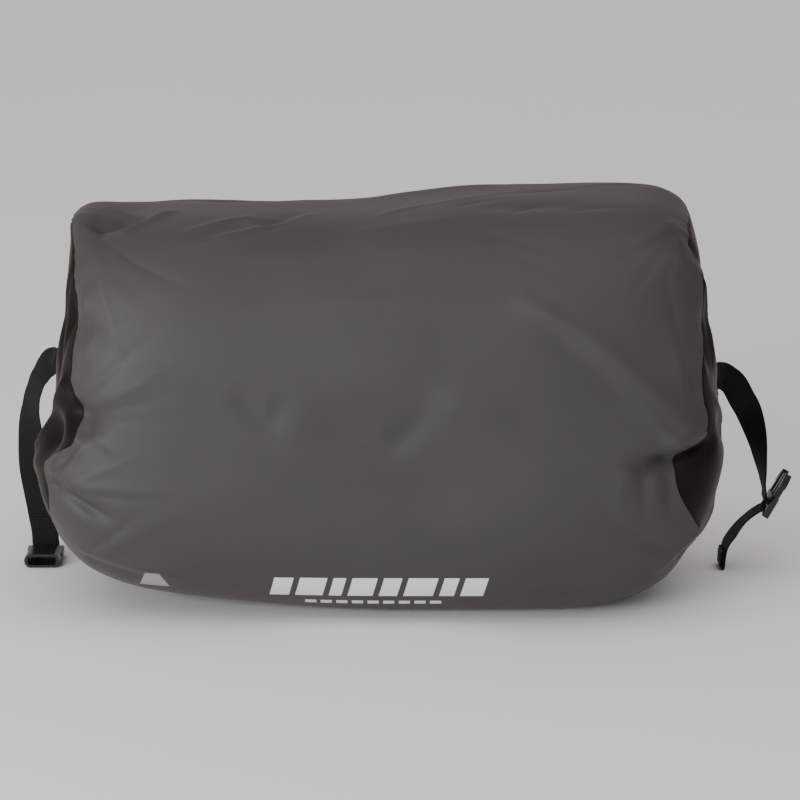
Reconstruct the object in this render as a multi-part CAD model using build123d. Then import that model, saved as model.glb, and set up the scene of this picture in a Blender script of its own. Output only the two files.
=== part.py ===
from build123d import *
import math
import os

# Duffel-shaped roll-top dry bag, stuffed full and lying on its side, in millimetres.
# +X runs along the bag, +Y points to the roll closure, +Z is up. The origin is on the flat
# patch of fabric that the bag rests on, so the floor is the plane z = 0.

# --- fabric and webbing ---
WALL = 0.9                 # PVC tarpaulin
SEAM_TAPE = 0.5            # welded tape inside each end seam
SEAM_TAPE_WIDTH = 20
SEAM_X = 276               # the main panel ends and the end panels begin at -SEAM_X and +SEAM_X
PATCH = 0.8                # welded patch under each sewn anchor
WEB_WIDTH = 25
WEB = 1.6                  # webbing thickness
THREAD = 0.5
GAP = 0.4                  # clearance between pieces on different bodies

# --- the stuffed bag: x, y_low, y_high, z_low, z_high, top radius, bottom radius ---
# Each row is one cross-section. The rows below z = 0 are cut flat where the bag rests.
SECTIONS = [
    (-320.5, -40, 26, 96, 134, 17, 17),
    (-317, -62, 48, 82, 152, 30, 28),
    (-311, -90, 74, 70, 174, 42, 38),
    (-304, -112, 98, 58, 204, 54, 46),
    (-297, -126, 114, 44, 236, 64, 52),
    (-289, -138, 126, 30, 290, 74, 58),
    (-276, -148, 135, 13, 346, 84, 64),
    (-262, -155, 142, 3, 351, 96, 72),
    (-240, -160, 147, -1, 353, 106, 80),
    (-120, -164, 150, -2, 354, 112, 88),
    (0, -165, 151, -2, 357, 114, 90),
    (120, -164, 150, -2, 366, 114, 88),
    (240, -158, 147, 2, 367, 106, 80),
    (262, -151, 142, 14, 362, 96, 72),
    (276, -142, 135, 30, 350, 84, 64),
    (287, -130, 124, 50, 298, 72, 56),
    (295, -114, 110, 68, 250, 60, 50),
    (301, -96, 92, 82, 218, 48, 42),
    (306.5, -72, 68, 102, 188, 34, 32),
    (310, -44, 40, 130, 162, 15, 15),
]

# --- mouth, neck and roll ---
MOUTH_LENGTH = 470
MOUTH_HEIGHT = 10
MOUTH_Z = 165
MOUTH_Y = 151
NECK_HEIGHT = 8
NECK_Y = (145, 171)
ROLL_LENGTH = 500
ROLL_AXIS = (193, 151)     # y, z of the roll's middle
ROLL_FLAT = 9              # half of the flat stretch in the roll's racetrack section
ROLL_R_FIRST = 3.0         # middle radius of the innermost and outermost turns
ROLL_R_LAST = 11.6
ROLL_TURNS = 3
ROLL_PLY = 1.8             # two layers of fabric rolled together
STIFFENER = (492, 17, 1.5)

# --- strap anchors on the end panels ---
ANCHOR_Y = (-22, 58)
PATCH_MARGIN = 10
LEFT_ANCHOR_Z = 200
RIGHT_ANCHOR_Z = 196
LEFT_ROOT_YZ = (59.2, 196)     # where each strap leaves its sewn part
RIGHT_ROOT_YZ = (49.2, 184)

# --- 25 mm side-release buckles ---
BUCKLE_WIDTH = 33.5
FEMALE_HEIGHT = 13
FEMALE_BODY = 34.5         # mouth to the back of the body
FEMALE_BAR_X = 40.7        # mouth to the middle of the webbing bar
SOCKET = (24, 26.5, 8)     # depth, width, height
WINDOW_X = (11, 23)
MALE_HALF = 3.5            # half of the male frame's height
BAR_R = 1.8
ARM_Y = 12.9               # inner face of the arms beside a webbing slot
MALE_BAR_X = -12           # ladder bar, from the male's shoulder
PRONG_HALF = 3.0
PRONG_PIVOT = (1.6, 11.5)
LOOP_R = BAR_R + 0.3 + WEB / 2   # middle radius of webbing that goes round a bar

# --- where the buckles are ---
LEFT_BAR = (-321, 88, 6.6)
RIGHT_BAR = (356.5, 50, 60)
RIGHT_MALE_DIR = (0.49, 0, 0.872)
ROLL_TAB_X = 258           # the hanging tabs at the roll's ends
ROLL_TAB_DROP = 24         # roll axis to the buckle's bar


def section(row):
    """One closed cross-section of the bag, a rectangle with its own radius at top and bottom."""
    x, y_low, y_high, z_low, z_high, r_top, r_bottom = row
    corners = [(y_low, z_low), (y_high, z_low), (y_high, z_high), (y_low, z_high)]
    radii = [r_bottom, r_bottom, r_top, r_top]
    outline = FilletPolyline(*corners, radius=radii, close=True)
    plane = Plane(origin=(x, 0, 0), x_dir=(0, 1, 0), z_dir=(1, 0, 0))
    return plane * make_face(outline)


def inset(row, depth):
    """The same cross-section, moved inwards by depth across and along the bag."""
    x, y_low, y_high, z_low, z_high, r_top, r_bottom = row
    near_end = abs(x) >= SEAM_X
    shift = -math.copysign(depth, x) if near_end else 0
    return (x + shift, y_low + depth, y_high - depth, z_low + depth, z_high - depth,
            r_top - depth, r_bottom - depth)


def bag_solid(depth=0):
    """The filled form of the bag, with its resting face cut flat, inset by depth."""
    faces = [section(inset(row, depth)) for row in SECTIONS]
    form = loft(faces, ruled=True)
    return form & slab(-400, 400, -300, 300, depth, 500)


def slab(x0, x1, y0, y1, z0, z1):
    return Pos((x0 + x1) / 2, (y0 + y1) / 2, (z0 + z1) / 2) * Box(x1 - x0, y1 - y0, z1 - z0)


OUTER = bag_solid()
INNER = bag_solid(WALL)
SHELL = OUTER - INNER


def main_panel():
    middle = SHELL & slab(-SEAM_X, SEAM_X, -300, 300, -1, 500)
    mouth = Pos(0, MOUTH_Y, MOUTH_Z) * Box(MOUTH_LENGTH, 30, MOUTH_HEIGHT)
    return middle - mouth


def end_panel(side):
    """side is -1 for the left end, +1 for the right end."""
    x0, x1 = sorted((side * SEAM_X, side * 400))
    return SHELL & slab(x0, x1, -300, 300, -1, 500)


def seam_tape(side):
    ring = INNER - bag_solid(WALL + SEAM_TAPE)
    x = side * SEAM_X
    half = SEAM_TAPE_WIDTH / 2
    return ring & slab(x - half, x + half, -300, 300, 0, 500)


def layer_on_end(side, start, stop, region):
    """The space between start and stop millimetres outside an end panel, within region."""
    outside = (Pos(side * stop, 0, 0) * OUTER) & region
    inside = (Pos(side * start, 0, 0) * OUTER) & region
    return outside - inside


def end_surface(side, y, z):
    """How far out the end panel reaches at y, z."""
    probe = OUTER & end_region(side, y - 0.5, y + 0.5, z - 0.5, z + 0.5)
    box = probe.bounding_box()
    return box.max.X if side > 0 else box.min.X


def strap_root(side, y, z):
    """The middle of the webbing where it leaves the anchor, against the end panel at y, z."""
    return (end_surface(side, y, z) + side * (PATCH + WEB / 2), y, z)


def root_lean(side, y, z):
    """The way that the webbing's width points at its root, up along the sloping end panel."""
    reach = 10
    above, below = end_surface(side, y, z + reach), end_surface(side, y, z - reach)
    return (above - below, 0, 2 * reach)


def end_region(side, y0, y1, z0, z1):
    x0, x1 = sorted((side * 280, side * 340))
    return slab(x0, x1, y0, y1, z0, z1)


def anchor_patch(side, z, y0, y1):
    half = WEB_WIDTH / 2 + PATCH_MARGIN
    region = end_region(side, y0 - PATCH_MARGIN, y1 - 2, z - half, z + half)
    return layer_on_end(side, 0, PATCH, region)


def anchor_webbing(side, z, y0, y1):
    half = WEB_WIDTH / 2
    return layer_on_end(side, PATCH, PATCH + WEB, end_region(side, y0, y1, z - half, z + half))


def anchor_stitching(side, z, y0, y1):
    """A sewn box of single stitches, 3 mm long every 4.5 mm."""
    inset_from_edge = 3
    low, high = z - WEB_WIDTH / 2 + inset_from_edge, z + WEB_WIDTH / 2 - inset_from_edge
    first, last = y0 + inset_from_edge, y0 + 46
    pitch = 4.5
    stitch = 3.0
    threads = []
    y = first
    while y + stitch <= last:
        for row in (low, high):
            threads.append(end_region(side, y, y + stitch, row - THREAD / 2, row + THREAD / 2))
        y += pitch
    row = low + pitch
    while row + stitch <= high:
        for column in (first, last):
            threads.append(end_region(side, column - THREAD / 2, column + THREAD / 2, row, row + stitch))
        row += pitch
    region = Compound(threads)
    raised = layer_on_end(side, PATCH + WEB, PATCH + WEB + THREAD, region)
    return Compound(raised.solids())


def printed_patch():
    """Thin trapezoid patch, low on the lower face."""
    outline = [(-214, 33), (-191, 33), (-195, 49), (-210, 49)]
    face = Plane.XZ * make_face(Polyline(*outline, close=True))
    column = extrude(face, amount=260)
    skin = (Pos(0, -0.4, 0) * OUTER) - OUTER
    return skin & column


def neck_band():
    """The flattened tube of fabric between the mouth and the roll."""
    y0, y1 = NECK_Y
    middle = (y0 + y1) / 2
    length = MOUTH_LENGTH - 4
    outer = Pos(0, middle, MOUTH_Z) * Box(length, y1 - y0, NECK_HEIGHT)
    hollow = Pos(0, middle, MOUTH_Z) * Box(length - 2 * WALL, y1 - y0 + 2, NECK_HEIGHT - 2 * WALL)
    return outer - hollow


def racetrack(angle, radius):
    """A point at this angle and radius on a racetrack round the roll's middle, as (y, z)."""
    centre = ROLL_FLAT if math.cos(angle) > 0 else -ROLL_FLAT
    return (centre + radius * math.cos(angle), radius * math.sin(angle))


def rolled_neck():
    """The neck's two layers of fabric, rolled up together as one spiral."""
    per_turn = 18
    steps = ROLL_TURNS * per_turn
    outer, inner = [], []
    for i in range(steps + 1):
        angle = 2 * math.pi * (i + 0.5) / per_turn
        radius = ROLL_R_FIRST + (ROLL_R_LAST - ROLL_R_FIRST) * i / steps
        outer.append(racetrack(angle, radius + ROLL_PLY / 2))
        inner.append(racetrack(angle, radius - ROLL_PLY / 2))
    outline = Polyline(*outer, *reversed(inner), close=True)
    return along_roll(make_face(outline), ROLL_LENGTH)


def along_roll(face, length):
    """Extrudes a (y, z) face, drawn round the roll's axis, evenly both ways along the roll."""
    plane = Plane(origin=(-length / 2, *ROLL_AXIS), x_dir=(0, 1, 0), z_dir=(1, 0, 0))
    return extrude(plane * face, amount=length)


def stiffener(side):
    """One of the two flat strips inside the lips, on either side of the mouth."""
    length, width, thick = STIFFENER
    face = Pos(0, side * (thick / 2 + 0.15)) * Rectangle(width, thick)
    return along_roll(face, length)


def female_buckle():
    """Socket half. Its mouth is at x = 0 and faces -x, and its bar is at FEMALE_BAR_X."""
    profile = Plane.YZ * SlotOverall(BUCKLE_WIDTH, FEMALE_HEIGHT)
    body = extrude(profile, amount=FEMALE_BODY)
    depth, width, height = SOCKET
    socket = extrude(Plane.YZ * RectangleRounded(width, height, 2.5), amount=depth)
    window = Pos(sum(WINDOW_X) / 2, 0, 0) * Box(WINDOW_X[1] - WINDOW_X[0], BUCKLE_WIDTH + 2, 6.6)
    body = body - socket - window
    arm_length = FEMALE_BAR_X + BAR_R - FEMALE_BODY + 4
    arm_x = FEMALE_BODY - 4 + arm_length / 2
    arm_width = BUCKLE_WIDTH / 2 - ARM_Y
    for side in (-1, 1):
        body += Pos(arm_x, side * (ARM_Y + arm_width / 2), 0) * Box(arm_length, arm_width, 7)
    return body + bar(FEMALE_BAR_X)


def bar(x):
    """A round webbing bar across the buckle at x."""
    return Pos(x, 0, 0) * Rot(90, 0, 0) * Cylinder(BAR_R, 2 * ARM_Y + 2)


def male_frame():
    """Plug half without its prongs. The shoulder is at x = 0 and the tongue points to +x."""
    block = Pos(-3, 0, 0) * Box(6, BUCKLE_WIDTH, 2 * MALE_HALF)
    block = fillet(block.edges().filter_by(Axis.X), 2.5)
    tongue = Pos(10.5, 0, 0) * Box(23, 5, 5)
    frame = block + tongue
    rear = -20.5
    arm_width = BUCKLE_WIDTH / 2 - ARM_Y
    for side in (-1, 1):
        frame += Pos((rear - 5) / 2, side * (ARM_Y + arm_width / 2), 0) * Box(-5 - rear, arm_width, 6)
    frame += Pos(rear + 1.15, 0, 0) * Box(2.3, BUCKLE_WIDTH - 4, 2 * BAR_R)
    return frame + bar(MALE_BAR_X)


def prong(side):
    """Sprung arm of the plug with a barbed head, on the +y or -y side."""
    half_outline = [
        (GAP, 10.0), (GAP, 13.0), (10, 12.4), (10.6, 15.4), (14, 15.6),
        (20, 13.6), (24, 10.4), (24, 8.0), (10, 9.2),
    ]
    points = [(x, side * y) for x, y in half_outline]
    face = make_face(Polyline(*points, close=True))
    return extrude(face, amount=PRONG_HALF, both=True)


def place(shape, origin, x_dir, z_dir):
    """Puts a shape drawn at the origin onto a plane in the bag's frame."""
    return Plane(origin=origin, x_dir=x_dir, z_dir=z_dir) * shape


def smooth(stations, steps=3):
    """Adds stations between the given ones, on a cubic curve with their directions of travel."""
    dense = [stations[0]]
    for (p0, t0, w0), (p1, t1, w1) in zip(stations, stations[1:]):
        p0, p1, w0, w1 = Vector(*p0), Vector(*p1), Vector(*w0), Vector(*w1)
        reach = (p1 - p0).length
        m0, m1 = Vector(*t0).normalized() * reach, Vector(*t1).normalized() * reach
        for i in range(1, steps + 1):
            u = i / steps
            point = (
                p0 * (2 * u**3 - 3 * u**2 + 1) + m0 * (u**3 - 2 * u**2 + u)
                + p1 * (3 * u**2 - 2 * u**3) + m1 * (u**3 - u**2)
            )
            travel = (
                p0 * (6 * u**2 - 6 * u) + m0 * (3 * u**2 - 4 * u + 1)
                + p1 * (6 * u - 6 * u**2) + m1 * (3 * u**2 - 2 * u)
            )
            dense.append((tuple(point), tuple(travel), tuple(w0 * (1 - u) + w1 * u)))
    return dense


def ribbon(stations, thick=WEB):
    """Webbing through stations of (point, direction of travel, direction of the width)."""
    rings = []
    for point, travel, across in stations:
        plane = Plane(origin=point, x_dir=across, z_dir=travel)
        half_w, half_t = WEB_WIDTH / 2, thick / 2
        corners = [(-half_w, -half_t), (half_w, -half_t), (half_w, half_t), (-half_w, half_t)]
        rings.append([plane.from_local_coords((*corner, 0)) for corner in corners])
    faces = [flat_face(rings[0]), flat_face(rings[-1])]
    for ring, following in zip(rings, rings[1:]):
        # The upper and lower faces are split along the same diagonal, so a twist keeps its thickness.
        for i, j in ((0, 1), (1, 2), (3, 2), (3, 0)):
            faces.append(flat_face([ring[i], ring[j], following[j]]))
            faces.append(flat_face([ring[i], following[j], following[i]]))
    return Solid(Shell(faces))


def flat_face(points):
    return make_face(Polyline(*points, close=True)).face()


def bar_loop(centre, x_dir, y_dir, first, last):
    """Webbing round a bar, as part of a ring. The angles run from x_dir towards y_dir."""
    plane = Plane(origin=centre, x_dir=x_dir, z_dir=Vector(*x_dir).cross(Vector(*y_dir)))
    outer = LOOP_R + WEB / 2
    inner = LOOP_R - WEB / 2
    middle = (first + last) / 2

    def at(radius, degrees):
        turn = math.radians(degrees)
        return (radius * math.cos(turn), radius * math.sin(turn))

    edges = [
        ThreePointArc(at(outer, first), at(outer, middle), at(outer, last)),
        Line(at(outer, last), at(inner, last)),
        ThreePointArc(at(inner, last), at(inner, middle), at(inner, first)),
        Line(at(inner, first), at(outer, first)),
    ]
    return extrude(plane * make_face(edges), amount=WEB_WIDTH / 2, both=True)


def left_strap():
    """Hangs from the left anchor, turns over once, and is sewn round the socket's bar."""
    x0, y0, z0 = strap_root(-1, *LEFT_ROOT_YZ)
    bar_x, bar_y, bar_z = LEFT_BAR
    up = (0, 0, 1)
    right = (1, 0, 0)
    down = (0, 0, -1)
    lean = root_lean(-1, *LEFT_ROOT_YZ)
    fall = [
        ((x0, y0, z0), (0, 1, 0), lean),
        ((x0 - 3, y0 + 3.2, z0 - 0.4), (-0.7, 0.7, -0.1), lean),
        ((x0 - 8.5, y0 + 4.6, z0 - 2.6), (-0.95, 0, -0.3), (-0.2, 0, 0.97)),
        ((x0 - 14.5, y0 + 5.5, z0 - 10), (-0.7, 0, -0.71), (-0.5, 0.7, 0.5)),
        ((x0 - 18.5, y0 + 7, z0 - 24), (-0.3, 0, -0.95), (0, 1, 0)),
        ((x0 - 21, y0 + 9, z0 - 42), (-0.1, 0, -0.99), (0.62, 0.78, 0)),
        ((x0 - 22.5, y0 + 13, z0 - 64), (0, 0.1, -0.99), (0.95, 0.3, 0)),
        ((bar_x - 9.5, bar_y - 12.5, 88), (0.1, 0.12, -0.98), right),
        ((bar_x - 3.5, bar_y - 6.5, 45), (0.12, 0.12, -0.98), right),
        ((bar_x - 0.5, bar_y - 3.5, 20), (0, 0, -1), right),
        ((bar_x, bar_y - LOOP_R, bar_z), down, right),
    ]
    back = [
        ((bar_x, bar_y + LOOP_R, bar_z), up, right),
        ((bar_x - 0.5, bar_y - 1.2, 20), up, right),
        ((bar_x - 3.5, bar_y - 4.1, 45), (-0.12, -0.12, 0.98), right),
        ((bar_x - 6.2, bar_y - 6.5, 64), (-0.12, -0.12, 0.98), right),
    ]
    loop = bar_loop(LEFT_BAR, (0, 1, 0), up, 180, 360)
    fold_base = (bar_x - 6.2, bar_y - 5.3, 64)
    fold_top = (bar_x - 8.6, bar_y - 7.4, 80)
    fold = ribbon([(fold_base, (-0.12, -0.12, 0.98), right), (fold_top, (-0.12, -0.12, 0.98), right)], 3.4)
    return loop + ribbon(smooth(back)) + fold + ribbon(smooth(fall))


def stitch_rows(origin, across, travel, normal, rows, offset):
    """Rows of single stitches laid across webbing. rows are distances along travel."""
    count = 5
    stitch = 3.0
    pitch = 4.2
    plane = Plane(origin=origin, x_dir=across, z_dir=normal)
    threads = []
    for distance in rows:
        for i in range(count):
            x = (i - (count - 1) / 2) * pitch
            thread = Pos(x, distance, offset + THREAD / 2) * Box(stitch, THREAD, THREAD)
            threads.append(plane * thread)
    return Compound(threads)


def left_strap_stitching():
    bar_x, bar_y, _ = LEFT_BAR
    origin = (bar_x - 2.3, bar_y - 5.3, 35)
    travel = (0.12, 0.12, -0.98)
    return stitch_rows(origin, (1, 0, 0), travel, (0, -0.99, -0.12), (-4, 0), WEB / 2 + 0.1)


def right_frame_point(along, out, y=0):
    """A point given from the right ladder bar: along the male, and out from its upper face."""
    dx, _, dz = RIGHT_MALE_DIR
    bx, by, bz = RIGHT_BAR
    return (bx + along * dx - out * dz, by + y, bz + along * dz + out * dx)


def right_strap():
    """Leaves the right anchor face-on, turns edge-on, and goes through the ladder slot."""
    x0, y0, z0 = strap_root(1, *RIGHT_ROOT_YZ)
    dx, _, dz = RIGHT_MALE_DIR
    lean = root_lean(1, *RIGHT_ROOT_YZ)
    out = (-dz, 0, dx)
    fall = [
        ((x0, y0, z0), (0, 1, 0), lean),
        ((x0 + 3, y0 + 3.0, z0 - 0.6), (0.7, 0.7, -0.2), lean),
        ((x0 + 9.5, y0 + 4.4, z0 - 4.6), (0.85, 0, -0.52), (0.35, 0, 0.93)),
        ((x0 + 24, y0 + 3.6, z0 - 26), (0.55, 0, -0.83), (0.83, 0, 0.55)),
        ((x0 + 33, y0 + 2.8, z0 - 47), (0.3, 0, -0.95), (0.8, -0.5, 0.3)),
        ((x0 + 39, y0 + 2.0, z0 - 72), (0.15, 0, -0.98), (0.5, -0.86, 0.1)),
        ((351.2, 50, 84), (0.05, 0, -1), (0.1, -1, 0)),
        (right_frame_point(6.5, 8.2), (-0.3, 0, -0.95), (0, -1, 0)),
        (right_frame_point(LOOP_R, 4.2), (dz, 0, -dx), (0, -1, 0)),
        (right_frame_point(LOOP_R, 0), (dz, 0, -dx), (0, -1, 0)),
    ]
    loop = bar_loop(RIGHT_BAR, RIGHT_MALE_DIR, out, 180, 360)
    return ribbon(smooth(fall)) + loop


def right_tail():
    """Free end of the webbing, from the ladder slot down to the floor, with a folded stop."""
    dx, _, dz = RIGHT_MALE_DIR
    out = (-dz, 0, dx)
    side = (0, -1, 0)
    low_x, low_z = 317.2, 20
    fall = [
        (right_frame_point(-4.0, 2.4), out, side),
        (right_frame_point(-5.2, 4.6), (-0.9, 0, 0.1), side),
        (right_frame_point(-8.2, 6.4), (-0.85, 0, -0.52), side),
        ((335.5, 50, 47), (-0.72, 0, -0.69), side),
        ((324.5, 50, 33), (-0.55, 0, -0.83), side),
        ((low_x, 50, low_z), (-0.2, 0, -0.98), side),
    ]
    tip = (low_x - 1.4, 50, 0.6)
    fold = ribbon([((low_x, 50, low_z + 1), (-0.1, 0, -1), side), (tip, (-0.1, 0, -1), side)], 4.6)
    return ribbon(smooth(fall)) + fold


def right_tail_stitching():
    origin = (314.1, 50, 14)
    return stitch_rows(origin, (0, 1, 0), (0, 0, -1), (-1, 0, 0), (0, 3), 0)


def roll_tab(side):
    """Short webbing loop from the end of the lips down to the buckle's bar."""
    y, z = ROLL_AXIS
    x = side * ROLL_TAB_X
    start = side * (ROLL_LENGTH / 2 + GAP)
    across = (0, 1, 0)
    drop = z - ROLL_TAB_DROP
    outward = (side, 0, 0)
    down = (0, 0, -1)
    front = [
        ((start, y, z + 0.9), outward, across),
        ((x - side * 2, y, z + 0.5), outward, across),
        ((x + side * LOOP_R, y, z - 4), (side * 0.3, 0, -0.95), across),
        ((x + side * LOOP_R, y, drop), down, across),
    ]
    rear = [
        ((start, y, z - 0.9), outward, across),
        ((x - side * 4.6, y, z - 1.2), (side * 0.8, 0, -0.4), across),
        ((x - side * LOOP_R, y, z - 5), down, across),
        ((x - side * LOOP_R, y, drop), down, across),
    ]
    loop = bar_loop((x, y, drop), (1, 0, 0), (0, 0, 1), 180, 360)
    return ribbon(front) + ribbon(rear) + loop


def roll_buckle(shape, side, bar_x, mouth_down):
    """Hangs a buckle half from a roll tab, with its width along Y."""
    y, z = ROLL_AXIS
    x_dir = (0, 0, 1) if mouth_down else (0, 0, -1)
    placed = Pos(-bar_x, 0, 0) * shape
    return place(placed, (side * ROLL_TAB_X, y, z - ROLL_TAB_DROP), x_dir, (1, 0, 0))


def left_female():
    shape = Pos(-FEMALE_BAR_X, 0, 0) * female_buckle()
    return place(shape, LEFT_BAR, (0, 1, 0), (0, 0, 1))


def on_right_bar(shape):
    dx, _, dz = RIGHT_MALE_DIR
    return place(Pos(-MALE_BAR_X, 0, 0) * shape, RIGHT_BAR, RIGHT_MALE_DIR, (-dz, 0, dx))


def main():
    y0, y1 = ANCHOR_Y
    right_y = (y0 - 10, y1 - 10)
    shapes = {
        "main_panel": main_panel(),
        "left_end_panel": end_panel(-1),
        "right_end_panel": end_panel(1),
        "left_seam_tape": seam_tape(-1),
        "right_seam_tape": seam_tape(1),
        "left_anchor_patch": anchor_patch(-1, LEFT_ANCHOR_Z, y0, y1),
        "right_anchor_patch": anchor_patch(1, RIGHT_ANCHOR_Z, *right_y),
        "left_anchor_webbing": anchor_webbing(-1, LEFT_ANCHOR_Z, y0, y1),
        "right_anchor_webbing": anchor_webbing(1, RIGHT_ANCHOR_Z, *right_y),
        "left_anchor_stitching": anchor_stitching(-1, LEFT_ANCHOR_Z, y0, y1),
        "right_anchor_stitching": anchor_stitching(1, RIGHT_ANCHOR_Z, *right_y),
        "face_patch": printed_patch(),
        "neck_band": neck_band(),
        "rolled_neck": rolled_neck(),
        "lip_stiffener_upper": stiffener(1),
        "lip_stiffener_lower": stiffener(-1),
        "left_strap_webbing": left_strap(),
        "left_strap_stitching": left_strap_stitching(),
        "left_socket_buckle": left_female(),
        "right_strap_webbing": right_strap(),
        "right_plug_frame": on_right_bar(male_frame()),
        "right_plug_prong_front": on_right_bar(prong(-1)),
        "right_plug_prong_rear": on_right_bar(prong(1)),
        "right_strap_tail": right_tail(),
        "right_tail_stitching": right_tail_stitching(),
        "roll_left_tab": roll_tab(-1),
        "roll_right_tab": roll_tab(1),
        "roll_socket_buckle": roll_buckle(female_buckle(), 1, FEMALE_BAR_X, True),
        "roll_plug_frame": roll_buckle(male_frame(), -1, MALE_BAR_X, False),
        "roll_plug_prong_front": roll_buckle(prong(1), -1, MALE_BAR_X, False),
        "roll_plug_prong_rear": roll_buckle(prong(-1), -1, MALE_BAR_X, False),
    }
    os.makedirs("parts", exist_ok=True)
    for name, shape in shapes.items():
        export_step(shape, f"parts/{name}.step")
        print(name, len(shape.solids()), round(shape.volume), shape.bounding_box())
    print("strap roots", strap_root(-1, *LEFT_ROOT_YZ), strap_root(1, *RIGHT_ROOT_YZ))
    print("strap leans", root_lean(-1, *LEFT_ROOT_YZ), root_lean(1, *RIGHT_ROOT_YZ))


main()
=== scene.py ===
import math

import bpy
import numpy as np
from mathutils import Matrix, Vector
from mathutils.bvhtree import BVHTree


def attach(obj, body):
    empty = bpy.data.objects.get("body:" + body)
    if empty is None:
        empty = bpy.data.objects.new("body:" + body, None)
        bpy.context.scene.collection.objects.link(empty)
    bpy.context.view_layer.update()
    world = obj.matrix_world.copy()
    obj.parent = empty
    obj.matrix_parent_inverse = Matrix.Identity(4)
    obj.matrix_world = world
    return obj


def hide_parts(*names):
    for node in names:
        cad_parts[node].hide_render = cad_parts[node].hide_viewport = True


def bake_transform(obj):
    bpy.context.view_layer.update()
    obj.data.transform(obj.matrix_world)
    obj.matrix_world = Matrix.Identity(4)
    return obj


# A stuffed roll-top dry bag lying on its side. Lengths are millimetres until a mesh is made.
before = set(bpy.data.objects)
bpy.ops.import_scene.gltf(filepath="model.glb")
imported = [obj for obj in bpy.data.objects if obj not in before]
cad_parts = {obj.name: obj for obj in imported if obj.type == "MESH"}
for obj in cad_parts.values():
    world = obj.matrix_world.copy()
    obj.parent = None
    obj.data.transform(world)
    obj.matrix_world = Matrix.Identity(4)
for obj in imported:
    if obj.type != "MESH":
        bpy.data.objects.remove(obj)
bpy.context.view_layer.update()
MM = 0.001

# --- the skin's form ---
WIDE_Z = 165.0             # level of the mouth, where the bag is widest
MID_Y = -7.0
HALF_Y = 158.0
TOP_POWER = 3.2            # roundness of the section above and below the mouth's level
BOTTOM_POWER = 3.3
END_POWER = 5.2            # roundness from the front and back faces into the ends
END_POWER_TOP = 14.0       # the upper corners are boxier
# The crown is level at the left, rises to the right and turns up at the left corner.
CROWN = 350.0
CROWN_RISE = 16.0
CROWN_LEFT_CORNER = 12.0
CROWN_RIGHT_CORNER = -8.0
# The underside rests below the middle and lifts towards both ends.
UNDERSIDE = -5.0
LEFT_LIFT = 13.0
LEFT_CORNER_LIFT = 8.0
RIGHT_LIFT = 25.0
# How far each end reaches at the bottom: a bulge below the mouth's level, then drawn in above it.
LEFT_END = 296.0
LEFT_BULGE = 14.0
LEFT_DRAWN_IN = 17.0
RIGHT_END = 292.0
RIGHT_BULGE = 11.0
RIGHT_DRAWN_IN = 12.0
RIGHT_HOLLOW = 9.0         # the low hollow in the right end
# Where the front of each end seam lies along the bag.
LEFT_SEAM = 268.0
LEFT_SEAM_SHELF = 25.0     # the seam stands further out over the left bulge
RIGHT_SEAM = 276.0
RIGHT_SEAM_PINCH = 20.0    # the seam is drawn in where the right end is pinched
SEAM_TOP_IN = 6.0
RIGHT_SEAM_TOP_IN = 14.0
BACK_SEAM = 274.0
SIDE_QUADS = 128           # quads along each side of a section
ALONG_QUADS = 232
WALL = 0.9
MOUTH_HALF = 235.0
LIP = 4.2

COUNT = 4 * SIDE_QUADS


def curve_through(stations, values):
    """Smooth interpolation of given stations."""
    xs = np.array([s[0] for s in stations], float)
    ys = np.array([s[1] for s in stations], float)
    slopes = np.gradient(ys, xs)
    v = np.clip(values, xs[0], xs[-1])
    i = np.clip(np.searchsorted(xs, v) - 1, 0, len(xs) - 2)
    h = xs[i + 1] - xs[i]
    t = (v - xs[i]) / h
    return ((2 * t**3 - 3 * t**2 + 1) * ys[i] + (t**3 - 2 * t**2 + t) * h * slopes[i]
            + (3 * t**2 - 2 * t**3) * ys[i + 1] + (t**3 - t**2) * h * slopes[i + 1])


def smoothstep(low, high, values):
    t = np.clip((values - low) / (high - low), 0, 1)
    return t * t * (3 - 2 * t)


def bell(place, width, values):
    return np.exp(-(((values - place) / width) ** 2))


def crown_height(x):
    rise = CROWN_RISE * smoothstep(-60, 140, x)
    corners = CROWN_LEFT_CORNER * smoothstep(235, 305, -x) + CROWN_RIGHT_CORNER * smoothstep(240, 305, x)
    return CROWN + rise + corners - 2 * bell(-215, 25, x)


def underside_height(x):
    left = LEFT_LIFT * smoothstep(-10, 230, -x) + LEFT_CORNER_LIFT * smoothstep(235, 330, -x)
    return UNDERSIDE + left + RIGHT_LIFT * smoothstep(180, 360, x)


def left_reach(level):
    drawn_in = LEFT_DRAWN_IN * smoothstep(150, 290, level)
    top_corner = 12 * smoothstep(325, 375, level)
    return LEFT_END + LEFT_BULGE * bell(118, 42, level) - drawn_in + top_corner


def right_reach(level):
    drawn_in = RIGHT_DRAWN_IN * smoothstep(190, 300, level) + RIGHT_HOLLOW * bell(50, 26, level)
    top_corner = 6 * smoothstep(325, 375, level)
    return RIGHT_END + RIGHT_BULGE * bell(148, 45, level) - drawn_in + top_corner


def left_seam(level):
    shelf = (0.3 + 0.7 * smoothstep(0, 75, level)) * (1 - smoothstep(145, 170, level))
    return (LEFT_SEAM + LEFT_SEAM_SHELF * shelf + 7 * bell(132, 12, level)
            - SEAM_TOP_IN * smoothstep(330, 365, level))


def right_seam(level):
    pinch = smoothstep(75, 140, level) * (1 - smoothstep(150, 166, level))
    foot = 4 * (1 - smoothstep(0, 60, level))
    return (RIGHT_SEAM - foot - RIGHT_SEAM_PINCH * pinch + 5 * bell(186, 16, level)
            - RIGHT_SEAM_TOP_IN * smoothstep(270, 365, level))


def norm_of(y, z):
    power = np.where(z > 0, TOP_POWER, BOTTOM_POWER)
    return (np.abs(y) ** power + np.abs(z) ** power) ** (1 / power)


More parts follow.
